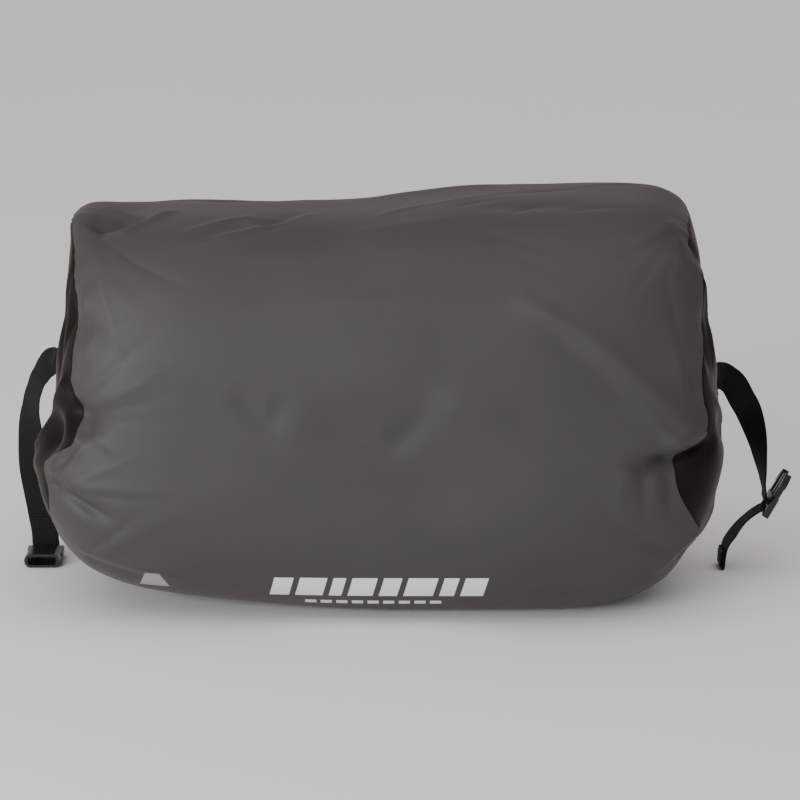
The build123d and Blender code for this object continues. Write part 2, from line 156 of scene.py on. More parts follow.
def square_edge(k):
    """Point k of COUNT round a square's edge, from the middle of the back (+y) and up."""
    n = SIDE_QUADS
    k = np.mod(k, COUNT)
    y = np.select([k <= n / 2, k <= 3 * n / 2, k <= 5 * n / 2, k <= 7 * n / 2],
                  [1.0 + 0 * k, 1 - 2 * (k - n / 2) / n, -1.0 + 0 * k, -1 + 2 * (k - 5 * n / 2) / n], 1.0)
    z = np.select([k <= n / 2, k <= 3 * n / 2, k <= 5 * n / 2, k <= 7 * n / 2],
                  [2 * k / n, 1.0 + 0 * k, 1 - 2 * (k - 3 * n / 2) / n, -1.0 + 0 * k],
                  -1 + 2 * (k - 7 * n / 2) / n)
    return y, z


def height_scale(x, z):
    top = crown_height(x) - WIDE_Z
    bottom = WIDE_Z - underside_height(x)
    return np.where(z > 0, top, bottom)


def end_power(y, z):
    upward = np.clip(z, 0, None) / np.maximum(np.abs(y) + np.abs(z), 1e-6)
    return END_POWER + (END_POWER_TOP - END_POWER) * smoothstep(0.25, 0.85, upward)


def reach(x, level):
    return np.where(x < 0, left_reach(level), right_reach(level))


def section_point(x, y, z):
    """Skin point of the section at x, in the direction (y, z) of a unit section."""
    size = norm_of(y, z)
    y, z = y / size, z / size
    power = end_power(y, z)
    scale = height_scale(x, z)
    radius = np.ones_like(x)
    for _ in range(12):
        far = reach(x, WIDE_Z + radius * z * scale)
        share = np.clip(np.abs(x) / far, 0, 0.995)
        radius = 0.5 * radius + 0.5 * (1 - share**power) ** (1 / power)
    return radius * y, radius * z


def to_space(x, y, z):
    scale = height_scale(x, z)
    return np.stack([x, MID_Y + y * HALF_Y, WIDE_Z + z * scale], -1)


def cap_x(side, y, z):
    """How far out the end panel is at the unit-section point (y, z)."""
    power = end_power(y, z)
    size = np.clip(norm_of(y, z), 0, 0.995)
    x = np.full_like(y, side * 280.0)
    for _ in range(8):
        far = reach(x, WIDE_Z + z * height_scale(x, z))
        x = side * far * (1 - size**power) ** (1 / power)
    return x


def seam_x(side, k):
    """Where the end seam crosses girth position k."""
    y, z = square_edge(k)
    x = np.full_like(y, side * BACK_SEAM)
    uy, uz = section_point(x, y, z)
    level = WIDE_Z + uz * height_scale(x, uz)
    front = left_seam(level) if side < 0 else right_seam(level)
    toward_front = smoothstep(0.1, 0.8, -uy / np.maximum(norm_of(uy, uz), 1e-6))
    return side * (BACK_SEAM + (front - BACK_SEAM) * toward_front)


class Skin:
    """Vertices and faces of the whole closed skin: the main panel's grid, then the two caps."""

    def __init__(self):
        k = np.arange(COUNT, dtype=float)
        left, right = seam_x(-1, k), seam_x(1, k)
        share = np.linspace(0, 1, ALONG_QUADS + 1)
        x = left[None, :] + (right - left)[None, :] * share[:, None]
        ey, ez = square_edge(k)
        uy, uz = section_point(x, np.broadcast_to(ey, x.shape), np.broadcast_to(ez, x.shape))
        self.main = np.arange(x.size).reshape(x.shape)
        points = [to_space(x, uy, uz).reshape(-1, 3)]
        self.caps = {}
        total = x.size
        for side, row in ((-1, 0), (1, ALONG_QUADS)):
            grid, inner = self.cap(side, uy[row], uz[row], self.main[row], total)
            self.caps[side] = grid
            points.append(inner)
            total += len(inner)
        self.points = np.concatenate(points)
        self.main_faces = self.grid_faces(np.concatenate([self.main, self.main[:, :1]], 1))
        self.cap_faces = {
            -1: self.grid_faces(self.caps[-1])[:, ::-1],
            1: self.grid_faces(self.caps[1]),
        }
        self.faces = np.concatenate([self.main_faces, self.cap_faces[-1], self.cap_faces[1]])

    def cap(self, side, ring_y, ring_z, ring_ids, first_id):
        n = SIDE_QUADS
        line = np.linspace(-1, 1, n + 1)
        v, u = np.meshgrid(line, line, indexing="ij")
        level = np.maximum(np.abs(u), np.abs(v))
        safe = np.maximum(level, 1e-9)
        y, z = u / safe, v / safe
        half = n / 2
        k = np.select(
            [np.abs(y - 1) < 1e-9, np.abs(z - 1) < 1e-9, np.abs(y + 1) < 1e-9],
            [np.mod(z * half, COUNT), half + (1 - y) * half, 3 * half + (1 - z) * half],
            5 * half + (y + 1) * half,
        )
        low = np.floor(k).astype(int) % COUNT
        part = k - np.floor(k)
        high = (low + 1) % COUNT
        cy = (ring_y[low] * (1 - part) + ring_y[high] * part) * level
        cz = (ring_z[low] * (1 - part) + ring_z[high] * part) * level
        x = cap_x(side, cy, cz)
        space = to_space(x, cy, cz)
        ids = np.zeros((n + 1, n + 1), int)
        edge = level > 1 - 1e-9
        ids[edge] = ring_ids[np.round(k[edge]).astype(int) % COUNT]
        ids[~edge] = first_id + np.arange((~edge).sum())
        return ids, space[~edge]

    @staticmethod
    def grid_faces(ids):
        a, b = ids[:-1, :-1], ids[1:, :-1]
        c, d = ids[1:, 1:], ids[:-1, 1:]
        return np.stack([a, d, c, b], -1).reshape(-1, 4)


def face_normals(points, faces):
    a = points[faces[:, 2]] - points[faces[:, 0]]
    b = points[faces[:, 3]] - points[faces[:, 1]]
    return np.cross(a, b)


def vertex_normals(points, faces):
    normals = face_normals(points, faces)
    total = np.zeros_like(points)
    for corner in range(4):
        for axis in range(3):
            total[:, axis] += np.bincount(faces[:, corner], normals[:, axis], len(points))
    return total / np.maximum(np.linalg.norm(total, axis=1, keepdims=True), 1e-12)


# --- creases and dents ---
def to_path(points, path):
    """Distance of each point to a polyline, and how far along it the nearest place is, 0 to 1."""
    path = np.array(path, float)
    lengths = np.linalg.norm(np.diff(path, axis=0), axis=1)
    starts = np.concatenate([[0], np.cumsum(lengths)])
    best = np.full(len(points), 1e9)
    place = np.zeros(len(points))
    for a, b, length, start in zip(path, path[1:], lengths, starts):
        t = np.clip((points - a) @ (b - a) / length**2, 0, 1)
        distance = np.linalg.norm(points - (a + t[:, None] * (b - a)), axis=1)
        closer = distance < best
        best[closer] = distance[closer]
        place[closer] = (start + t[closer] * length) / starts[-1]
    return best, place


def near_path(points, path, margin):
    """Numbers of the points inside the path's box, grown by a margin."""
    low, high = np.min(path, axis=0) - margin, np.max(path, axis=0) + margin
    return np.where(((points > low) & (points < high)).all(1))[0]


def rounded(path, steps=6):
    """A smooth curve through a few given points."""
    path = np.array(path, float)
    t = np.arange(len(path))
    fine = np.linspace(0, len(path) - 1, (len(path) - 1) * steps + 1)
    return np.stack([curve_through(list(zip(t, path[:, i])), fine) for i in range(3)], -1)


class Folds:
    """Adds up movements along the skin's normal."""

    def __init__(self, points, normals):
        self.points = points
        self.normals = normals
        self.move = np.zeros_like(points)

    def front(self, x, z):
        """The front face's point at x, z."""
        near = np.abs(self.points[:, 0] - x) + np.abs(self.points[:, 2] - z)
        near = near + np.where(self.normals[:, 1] < 0.25, 0, 1000)
        return self.points[np.argmin(near)]

    def top(self, x, y):
        near = np.abs(self.points[:, 0] - x) + np.abs(self.points[:, 1] - y)
        near = near + np.where(self.normals[:, 2] > -0.1, 0, 1000)
        return self.points[np.argmin(near)]

    def end(self, side, y, z):
        near = np.abs(self.points[:, 1] - y) + np.abs(self.points[:, 2] - z)
        near = near + np.where(self.points[:, 0] * side > 240, 0, 1000)
        return self.points[np.argmin(near)]

    def crease(self, path, height, width, crest=1.2, start=0.35, end=0.45, toward=None):
        """A ridge (height above 0) or a valley along a path, dying away at its ends."""
        path = rounded(path)
        chosen = near_path(self.points, path, 4.5 * width + 2 * crest)
        distance, place = to_path(self.points[chosen], path)
        offset = np.sqrt(distance**2 + crest**2) - crest
        shape = np.exp(-((offset / width) ** 1.25))
        taper = np.ones_like(place)
        if start > 0:
            taper = taper * smoothstep(-0.02, start, place)
        if end > 0:
            taper = taper * smoothstep(-0.02, end, 1 - place)
        amount = (height * shape * taper)[:, None]
        self.move[chosen] += amount * (self.normals[chosen] if toward is None else np.array(toward, float))

    def dent(self, centre, radii, depth, toward=None, tilt=0.0):
        """A soft hollow (depth below 0) or swelling round a point. tilt turns it in the x-z plane."""
        offset = self.points - np.array(centre, float)
        c, s = math.cos(math.radians(tilt)), math.sin(math.radians(tilt))
        along = offset[:, 0] * c + offset[:, 2] * s
        across = -offset[:, 0] * s + offset[:, 2] * c
        size = (along / radii[0]) ** 2 + (offset[:, 1] / radii[1]) ** 2 + (across / radii[2]) ** 2
        amount = (depth * np.exp(-size))[:, None]
        self.move += amount * (self.normals if toward is None else np.array(toward, float))

    def waves(self, rng, count, height, size, mask):
        """Faint unevenness of the stuffed contents, as a sum of soft swellings."""
        total = np.zeros(len(self.points))
        chosen = rng.choice(len(self.points), count)
        for i in chosen:
            offset = self.points - self.points[i]
            width = size * rng.uniform(0.6, 1.5)
            total += rng.uniform(-1, 1) * np.exp(-(offset**2).sum(1) / width**2)
        self.move += (height * total * mask)[:, None] * self.normals

    def settle(self):
        self.points = self.points + self.move
        self.move = np.zeros_like(self.points)
        return self.points


def fold_front(folds):
    """The creases and dents on the front face."""
    f = folds.front
    # the long soft ridge across the upper front, running down to the right pinch
    folds.crease([f(-150, 284), f(-60, 291), f(20, 295), f(116, 297)], 1.5, 9, 2.5)
    folds.crease([f(105, 299), f(150, 281), f(190, 251), f(226, 219), f(250, 196), f(264, 176)],
                 3.4, 11, 2.0, 0.2, 0.02)
    folds.crease([f(120, 280), f(165, 250), f(205, 215), f(232, 186)], -2.2, 13, 3.0)
    # soft V-shaped dents in the middle
    folds.crease([f(-134, 222), f(-116, 203), f(-101, 190), f(-90, 201), f(-76, 220)], -2.6, 12, 3, 0.35, 0.4)
    sag = [f(-84, 186), f(-35, 178), f(1, 169), f(22, 184), f(40, 201), f(64, 208)]
    folds.crease(sag, -3.6, 13, 3, 0.3, 0.45)
    folds.crease([f(30, 216), f(75, 203), f(130, 190)], 2.4, 12, 3, 0.4, 0.5)
    folds.dent(f(-20, 190), (46, 60, 18), -1.6, tilt=-14)
    folds.crease([f(-166, 232), f(-150, 205), f(-116, 176)], -1.0, 15, 5, 0.4, 0.5)
    # short creases near the top right
    folds.crease([f(70, 348), f(125, 337), f(176, 331)], -1.5, 6.5, 2, 0.4, 0.5)
    folds.crease([f(84, 333), f(126, 326), f(166, 317)], -1.1, 6, 2, 0.4, 0.5)
    folds.crease([f(90, 342), f(140, 331)], 0.9, 5.5, 2, 0.4, 0.5)
    folds.crease([f(108, 314), f(146, 290), f(180, 260)], -1.2, 9, 3, 0.4, 0.5)
    # broad hollow above the print and the lower sag lines
    folds.crease([f(-190, 148), f(-60, 128), f(90, 132), f(200, 150)], -1.8, 30, 8)
    folds.crease([f(40, 120), f(110, 95), f(190, 85)], 1.6, 20, 6)


def fold_left(folds):
    f, e = folds.front, folds.end
    # dent facet beside the seam, and the light ridge that leaves it
    folds.dent(f(-262, 266), (17, 40, 12), -5.5, tilt=-38)
    folds.crease([f(-254, 262), f(-225, 265), f(-150, 273)], 1.3, 9, 3.0, 0.2, 0.8)
    folds.crease([f(-247, 268), f(-262, 240)], 2.2, 6, 1.2)
    # swelling over the pinch, then the deep dimple
    folds.dent(f(-240, 225), (40, 60, 26), 3.0)
    folds.dent(f(-262, 192), (20, 40, 14), -13.0, tilt=-12)
    folds.crease([f(-274, 209), f(-258, 207), f(-246, 198), f(-242, 184)], 3.2, 5, 1.2)
    folds.crease([f(-268, 176), f(-262, 178), f(-250, 176)], -3.5, 5.5, 1.0)
    # oval crease: a raised ring round a shallow channel
    ring = [f(-266, 171), f(-262, 164), f(-268, 152), f(-279, 141), f(-288, 138), f(-289, 143),
            f(-281, 155), f(-272, 166), f(-266, 171)]
    folds.crease(ring, 2.0, 2.6, 0.8, 0, 0)
    folds.crease([f(-268, 166), f(-276, 153), f(-284, 142)], -2.6, 3.2, 0.8)
    # the diagonal crease under the bulge
    folds.crease([f(-291, 128), f(-280, 123), f(-268, 116), f(-245, 104), f(-228, 98)], -4.4, 5.5, 1.0,
                 0.05, 0.4)
    folds.crease([f(-286, 137), f(-265, 128), f(-240, 117)], 2.4, 8, 2)
    folds.dent(f(-270, 100), (26, 40, 16), 2.5)
    # two soft creases low on the left
    folds.crease([f(-272, 70), f(-239, 60), f(-205, 51), f(-160, 40)], 1.8, 4.5, 1.4, 0.1, 0.4)
    folds.crease([f(-266, 59), f(-235, 50), f(-200, 40)], -1.8, 5, 1.6, 0.1, 0.4)
    # the end panel's pocket and its ridges
    folds.crease([e(-1, -128, 222), e(-1, -112, 205), e(-1, -84, 176), e(-1, -62, 150), e(-1, -50, 136)],
                 6.0, 6.5, 1.0, 0.1, 0.1)
    folds.dent(e(-1, -104, 168), (40, 22, 20), -15.0)
    folds.dent(e(-1, -70, 132), (40, 26, 14), 5.0)
    folds.dent(e(-1, -82, 104), (40, 14, 15), -9.0)
    folds.crease([e(-1, -60, 118), e(-1, -70, 100), e(-1, -84, 84)], 3.0, 5, 1.0)
    folds.crease([e(-1, -124, 330), e(-1, -118, 280), e(-1, -122, 236)], -4.0, 8, 1.5)
    folds.crease([e(-1, -96, 322), e(-1, -98, 270), e(-1, -86, 222), e(-1, -66, 190)], 3.5, 7, 1.2)
    folds.crease([e(-1, -70, 300), e(-1, -62, 250), e(-1, -48, 215)], -3.5, 8, 1.5)
    folds.crease([e(-1, -30, 90), e(-1, -50, 60), e(-1, -90, 40)], -4.0, 9, 1.5)
    folds.crease([e(-1, 20, 150), e(-1, 60, 120), e(-1, 100, 110)], -3.5, 9, 1.5)
    folds.crease([e(-1, 10, 290), e(-1, 40, 250), e(-1, 100, 235)], 3.5, 8, 1.5)
    folds.crease([e(-1, 30, 60), e(-1, 60, 45), e(-1, 104, 60)], 3.0, 8, 1.5)


def fold_right(folds):
    f, e = folds.front, folds.end
    # the pinch: the upper part hangs over a tight horizontal valley
    folds.crease([f(228, 151), f(243, 153), f(258, 154), f(272, 158), e(1, -120, 162)], -12.0, 6.0, 1.0,
                 0.35, 0.3)
    folds.crease([f(236, 163), f(252, 167), f(268, 171), f(278, 176)], 5.0, 6.5, 1.5, 0.3, 0.05)
    folds.dent(f(234, 151), (20, 40, 12), -8.0)
    folds.dent(f(254, 136), (26, 50, 26), -7.0)
    # soft folds fanning down from it
    folds.crease([f(222, 148), f(226, 124), f(220, 92)], -2.2, 6.0, 1.6, 0.3, 0.6)
    folds.crease([f(236, 148), f(238, 124), f(238, 92)], 1.3, 6.0, 1.6, 0.3, 0.6)
    folds.crease([f(246, 148), f(250, 120), f(254, 90)], -1.6, 5.5, 1.5, 0.3, 0.6)
    folds.crease([f(214, 150), f(206, 130), f(196, 112)], 1.8, 7.0, 2.0, 0.1, 0.4)
    # folds above it
    folds.crease([f(262, 242), f(266, 215), f(270, 190)], -2.6, 6.0, 1.5)
    folds.crease([f(246, 262), f(256, 225), f(262, 196)], 1.6, 6.0, 1.5)
    folds.crease([f(240, 320), f(250, 280), f(258, 245)], -1.2, 5.0, 1.2)
    # the corner near the floor
    folds.crease([f(276, 82), f(262, 70), f(250, 58), f(238, 40)], 3.2, 5.0, 0.9, 0.02, 0.4)
    folds.crease([f(268, 64), f(258, 48)], -3.0, 6.0, 1.5)
    # the end panel
    folds.crease([e(1, -118, 330), e(1, -104, 300), e(1, -96, 262)], 5.0, 6.0, 1.0)
    folds.crease([e(1, -100, 340), e(1, -84, 320), e(1, -70, 300)], -4.0, 6.0, 1.0)
    folds.crease([e(1, -110, 286), e(1, -112, 250), e(1, -104, 214)], -4.5, 6.5, 1.0)
    folds.crease([e(1, -84, 262), e(1, -78, 222), e(1, -58, 196)], 3.5, 6.0, 1.0)
    folds.crease([e(1, -122, 206), e(1, -100, 190), e(1, -60, 168), e(1, -20, 160)], 2.4, 3.6, 0.6)
    folds.crease([e(1, -118, 182), e(1, -84, 166), e(1, -40, 150)], -6.0, 9.0, 1.5)
    folds.crease([e(1, -88, 150), e(1, -66, 122), e(1, -60, 96)], -4.5, 9.0, 1.5)
    folds.crease([e(1, -96, 110), e(1, -84, 80), e(1, -90, 56)], 3.0, 8.0, 1.5)
    folds.crease([e(1, 10, 270), e(1, 40, 240), e(1, 90, 236)], 3.5, 8, 1.5)
    folds.crease([e(1, 30, 120), e(1, 70, 110), e(1, 100, 80)], -3.5, 9, 1.5)
    folds.crease([e(1, -10, 90), e(1, 20, 60), e(1, 30, 30)], 3.0, 9, 1.5)


def fold_top(folds):
    t = folds.top
    # the corner valley on the left, between the corner's peak and the ridge beside it
    folds.crease([t(-262, -78), t(-248, -70), t(-232, -62), t(-212, -40)], -9.0, 11, 2.5, 0.25, 0.35)
    folds.crease([t(-240, -92), t(-222, -80), t(-200, -52), t(-178, -14)], 4.6, 5, 0.8, 0.15, 0.4)
    folds.crease([t(-262, -96), t(-250, -90), t(-236, -88)], -1.6, 4, 0.8)
    folds.dent(t(-268, -40), (16, 60, 16), 4.0)
    folds.crease([t(-256, 0), t(-240, -20), t(-226, -38)], 3.0, 5, 0.9)
    # ridges running back from the front edge
    folds.crease([t(-186, -100), t(-150, -78), t(-104, -40)], 2.8, 4, 0.7)
    folds.crease([t(-182, -116), t(-140, -100), t(-100, -80), t(-60, -40)], 3.0, 4.5, 0.8)
    folds.crease([t(-150, -112), t(-110, -98), t(-76, -80)], 1.5, 3.5, 0.7)
    folds.crease([t(-120, -80), t(-92, -60), t(-70, -30)], -3.5, 9, 2)
    folds.crease([t(-60, -104), t(10, -92), t(90, -84)], 2.0, 10, 2.5)
    folds.crease([t(60, -60), t(130, -70), t(200, -66)], -3.0, 14, 3)
    folds.crease([t(-40, 20), t(40, 40), t(140, 30)], 3.0, 14, 3)
    folds.crease([t(-200, 30), t(-120, 50), t(-60, 90)], -3.5, 12, 2.5)
    # the right corner slopes away
    folds.dent(t(262, -60), (24, 70, 30), -7.0)
    folds.crease([t(226, -108), t(246, -96), t(262, -70)], 2.4, 7, 1.5)


def fold_back(folds):
    """The back face gathers towards the ends of the mouth."""
    rng = np.random.default_rng(11)
    back = folds.points[folds.normals[:, 1] > 0.5]

    def b(x, z):
        return back[np.argmin(np.abs(back[:, 0] - x) + np.abs(back[:, 2] - z))]

    for side in (-1, 1):
        for i in range(7):
            angle = math.radians(-75 + 25 * i + rng.uniform(-8, 8))
            length = rng.uniform(60, 120)
            base = (side * 232, WIDE_Z)
            tip = (side * (232 - length * math.cos(angle)), WIDE_Z + length * math.sin(angle))
            middle = ((base[0] + tip[0]) / 2 + rng.uniform(-8, 8), (base[1] + tip[1]) / 2)
            height = rng.uniform(2.0, 4.0) * (1 if i % 2 else -1)
            folds.crease([b(*base), b(*middle), b(*tip)], height, rng.uniform(5, 9), 1.5, 0.1, 0.5)
    for i in range(9):
        x = -200 + 50 * i + rng.uniform(-12, 12)
        fall = rng.uniform(40, 90) * (1 if i % 2 else -1)
        folds.crease([b(x, WIDE_Z + math.copysign(7, fall)), b(x + rng.uniform(-10, 10), WIDE_Z + fall)],
                     rng.uniform(1.5, 2.6), rng.uniform(6, 10), 2.0, 0.1, 0.5)


def fold_fans(folds):
    """Faint creases that spread from the corners and from the gathered places at the ends."""
    rng = np.random.default_rng(23)
    # x, z, first and last angle, and how many creases leave each place.
    places = [
        (-276, 190, -50, 55, 8),
        (-282, 128, -62, 25, 6),
        (266, 158, 128, 232, 9),
        (-262, 344, -75, -8, 5),
        (262, 350, 190, 255, 5),
        (-262, 60, 5, 50, 4),
        (258, 62, 130, 175, 4),
    ]
    for x, z, first, last, count in places:
        for i in range(count):
            angle = math.radians(first + (last - first) * (i + rng.uniform(0.2, 0.8)) / count)
            length = rng.uniform(60, 160)
            bend = rng.uniform(-0.15, 0.15)
            path = [folds.front(x + length * share * math.cos(angle + bend * share),
                                z + length * share * math.sin(angle + bend * share))
                    for share in (0.08, 0.4, 0.7, 1.0)]
            height = rng.uniform(0.6, 1.5) * rng.choice([-1, 1])
            folds.crease(path, height, rng.uniform(3.0, 6.5), 1.0, 0.1, 0.8)
    for i in range(14):
        x = rng.uniform(-230, 210)
        y = rng.uniform(-110, 90)
        run = rng.uniform(40, 110)
        path = [folds.top(x + run * share, y + rng.uniform(-9, 9) + 26 * share) for share in (0.0, 0.5, 1.0)]
        folds.crease(path, rng.uniform(0.7, 1.6) * rng.choice([-1, 1]), rng.uniform(2.5, 5.0), 1.0, 0.4, 0.6)
    for side in (-1, 1):
        for i in range(9):
            y = -128 + 7 * i + rng.uniform(-3, 3)
            high = rng.uniform(270, 335)
            low = high - rng.uniform(50, 110)
            path = [folds.end(side, y, high), folds.end(side, y + rng.uniform(-8, 8), (high + low) / 2),
                    folds.end(side, y + rng.uniform(0, 16), low)]
            height = rng.uniform(0.9, 2.0) * rng.choice([-1, 1])
            folds.crease(path, height, rng.uniform(2.2, 4.0), 0.8, 0.3, 0.5)


def seam_puckers(folds):
    """Small gathers that run away from each end seam."""
    rng = np.random.default_rng(5)
    amount = np.zeros(len(folds.points))
    for side in (-1, 1):
        ring = SKIN.main[0 if side < 0 else ALONG_QUADS]
        for _ in range(46):
            k = rng.integers(0, COUNT)
            inward = rng.integers(8, 24)
            row = inward if side < 0 else ALONG_QUADS - inward
            a = folds.points[ring[k]]
            b = folds.points[SKIN.main[row, (k + rng.integers(-6, 7)) % COUNT]]
            width = rng.uniform(2.5, 5.5)
            strength = rng.uniform(0.3, 1.1) * rng.choice([-1, 1])
            chosen = near_path(folds.points, [a, b], 4 * width)
            distance, place = to_path(folds.points[chosen], [a, b])
            amount[chosen] += strength * np.exp(-((distance / width) ** 1.5)) * (1 - place) ** 0.7
    folds.move += amount[:, None] * folds.normals


def level_floor(points):
    """The bag's own weight flattens it where it rests."""
    z = points[:, 2]
    soft = 1.6
    points[:, 2] = soft * np.logaddexp(0, z / soft)
    return points


SKIN = Skin()


def shape_skin():
    points = SKIN.points
    normals = vertex_normals(points, SKIN.faces)
    folds = Folds(points, normals)
    rng = np.random.default_rng(3)
    mask = smoothstep(0, 30, points[:, 2]) * (1 - 0.8 * smoothstep(240, 275, np.abs(points[:, 0])))
    folds.waves(rng, 60, 1.6, 42, mask)
    folds.settle()
    folds.normals = vertex_normals(folds.points, SKIN.faces)
    fold_front(folds)
    fold_left(folds)
    fold_right(folds)
    fold_top(folds)
    fold_back(folds)
    fold_fans(folds)
    seam_puckers(folds)
    folds.settle()
    return level_floor(folds.points)


# --- meshes ---
def make_mesh(name, points, faces, material, uv=None, smooth=True):
    """An object from millimetre points. uv is one pair for each point."""
    mesh = bpy.data.meshes.new(name)
    mesh.from_pydata((np.asarray(points) * MM).tolist(), [], [list(map(int, f)) for f in faces])
    mesh.validate()
    if smooth:
        mesh.shade_smooth()
    else:
        mesh.shade_flat()
    if uv is not None:
        layer = mesh.uv_layers.new(name="fabric")
        index = np.zeros(len(mesh.loops), int)
        mesh.loops.foreach_get("vertex_index", index)
        layer.data.foreach_set("uv", np.asarray(uv, float)[index].ravel())
    obj = bpy.data.objects.new(name, mesh)
    bpy.context.scene.collection.objects.link(obj)
    for m in material if isinstance(material, (list, tuple)) else [material]:
        mesh.materials.append(m)
    return obj


def boundary_edges(faces):
    """Directed edges that only one face uses."""
    faces = np.asarray(faces)
    edges = np.concatenate([faces[:, [i, (i + 1) % faces.shape[1]]] for i in range(faces.shape[1])])
    keys = {(a, b) for a, b in map(tuple, edges.tolist())}
    return [(a, b) for a, b in keys if (b, a) not in keys]


def thick_sheet(name, points, normals, faces, outer, inner, material, uv, rim_slot=0):
    """A closed sheet between two offsets of the skin."""
    used = np.unique(faces)
    remap = np.full(len(points), -1)
    remap[used] = np.arange(len(used))
    faces = remap[np.asarray(faces)]
    base, direction = points[used], normals[used]
    count = len(used)
    edges = boundary_edges(faces)
    rim = [(b, a, a + count, b + count) for a, b in edges]
    all_faces = faces.tolist() + (faces[:, ::-1] + count).tolist() + rim
    verts = np.concatenate([base + direction * outer, base + direction * inner])
    obj = make_mesh(name, verts, all_faces, material, np.concatenate([uv[used], uv[used]]))
    if rim_slot:
        index = np.zeros(len(all_faces), int)
        index[2 * len(faces):] = rim_slot
        obj.data.polygons.foreach_set("material_index", index)
    sharp = obj.data.attributes.new("sharp_edge", "BOOLEAN", "EDGE")
    flags = np.zeros(len(obj.data.edges), bool)
    edge_verts = np.zeros(len(obj.data.edges) * 2, int)
    obj.data.edges.foreach_get("vertices", edge_verts)
    edge_verts = edge_verts.reshape(-1, 2)
    rim_verts = np.zeros(2 * count, bool)
    for a, b in edges:
        rim_verts[[a, b, a + count, b + count]] = True
    same_side = (edge_verts[:, 0] < count) == (edge_verts[:, 1] < count)
    keys = {frozenset(e) for e in edges} | {frozenset((a + count, b + count)) for a, b in edges}
    candidates = np.where(rim_verts[edge_verts].all(1) & same_side)[0]
    for i in candidates:
        if frozenset(edge_verts[i].tolist()) in keys:
            flags[i] = True
    sharp.data.foreach_set("value", flags)
    return obj


# --- materials ---
class Nodes:
    """Short ways to wire a material's nodes."""

    def __init__(self, name):
        self.material = bpy.data.materials.new(name)
        self.material.use_nodes = True
        self.tree = self.material.node_tree
        self.shader = self.tree.nodes["Principled BSDF"]

    def add(self, kind, **settings):
        node = self.tree.nodes.new(kind)
        for key, value in settings.items():
            if key in node.inputs:
                node.inputs[key].default_value = value
            else:
                setattr(node, key, value)
        return node

    def link(self, output, target):
        self.tree.links.new(output, target)

    def coordinates(self, scale, uv=True):
        source = self.add("ShaderNodeUVMap", uv_map="fabric") if uv else self.add("ShaderNodeTexCoord")
        mapping = self.add("ShaderNodeMapping")
        mapping.inputs["Scale"].default_value = scale
        self.link(source.outputs["UV" if uv else "Object"], mapping.inputs["Vector"])
        return mapping.outputs["Vector"]

    def noise(self, vector, scale, detail=3.0, roughness=0.5):
        node = self.add("ShaderNodeTexNoise", Scale=scale, Detail=detail, Roughness=roughness)
        self.link(vector, node.inputs["Vector"])
        return node.outputs["Fac"]

    def wave(self, vector, scale, direction="X", distortion=0.0):
        node = self.add("ShaderNodeTexWave", Scale=scale, Distortion=distortion)
        node.bands_direction = direction
        self.link(vector, node.inputs["Vector"])
        return node.outputs["Fac"]

    def maths(self, operation, a, b):
        node = self.add("ShaderNodeMath", operation=operation)
        for socket, value in zip(node.inputs, (a, b)):
            if isinstance(value, (int, float)):
                socket.default_value = value
            else:
                self.link(value, socket)
        return node.outputs[0]

    def ramp(self, value, stops):
        node = self.add("ShaderNodeValToRGB")
        elements = node.color_ramp.elements
        while len(elements) < len(stops):
            elements.new(0.5)
        for element, (position, colour) in zip(elements, stops):
            element.position = position
            element.color = (*colour, 1) if len(colour) == 3 else colour
        self.link(value, node.inputs["Fac"])
        return node.outputs["Color"]

    def bump(self, height, strength, distance, normal=None):
        node = self.add("ShaderNodeBump", Strength=strength, Distance=distance)
        self.link(height, node.inputs["Height"])
        if normal is not None:
            self.link(normal, node.inputs["Normal"])
        return node.outputs["Normal"]

    def set(self, **values):
        for key, value in values.items():
            self.shader.inputs[key.replace("_", " ")].default_value = value


def tint(colour, share):
    return tuple(c * share for c in colour)


def tarpaulin(name, colour, roughness, sheen, gloss=0.40, bloom=0.45):
    """PVC-coated cloth: a satin skin with the scrim just showing through."""
    n = Nodes(name)
    fabric = n.coordinates((1, 1, 1))
    cloud = n.noise(fabric, 9.0, 4.0)
    fine = n.noise(fabric, 160.0, 3.0)
    mottle = n.ramp(cloud, [(0.3, tint(colour, 0.93)), (0.7, tint(colour, 1.06))])
    n.link(mottle, n.shader.inputs["Base Color"])
    rough = n.maths("MULTIPLY_ADD", fine, 0.12)
    rough.node.inputs[2].default_value = roughness - 0.06
    n.link(rough, n.shader.inputs["Roughness"])
    warp = n.wave(fabric, 190.0, "X")
    weft = n.wave(fabric, 190.0, "Y")
    scrim = n.maths("MULTIPLY", warp, weft)
    normal = n.bump(scrim, 0.12, 0.0001)
    normal = n.bump(fine, 0.10, 0.0003, normal)
    normal = n.bump(cloud, 0.25, 0.0016, normal)
    n.link(normal, n.shader.inputs["Normal"])
    n.set(Sheen_Weight=sheen, Sheen_Roughness=bloom, Sheen_Tint=(1.0, 0.74, 0.66, 1))
    n.set(Specular_IOR_Level=gloss)
    return n.material


def cut_edge(name):
    """The raw welded edge of the tarpaulin: grey coating with the white scrim's ends in it."""
    n = Nodes(name)
    fabric = n.coordinates((1, 1, 1))
    dots = n.wave(fabric, 130.0, "DIAGONAL", 1.5)
    scrim = n.ramp(dots, [(0.45, (0.12, 0.115, 0.11)), (0.80, (0.62, 0.60, 0.58))])
    n.link(scrim, n.shader.inputs["Base Color"])
    n.set(Roughness=0.6)
    return n.material


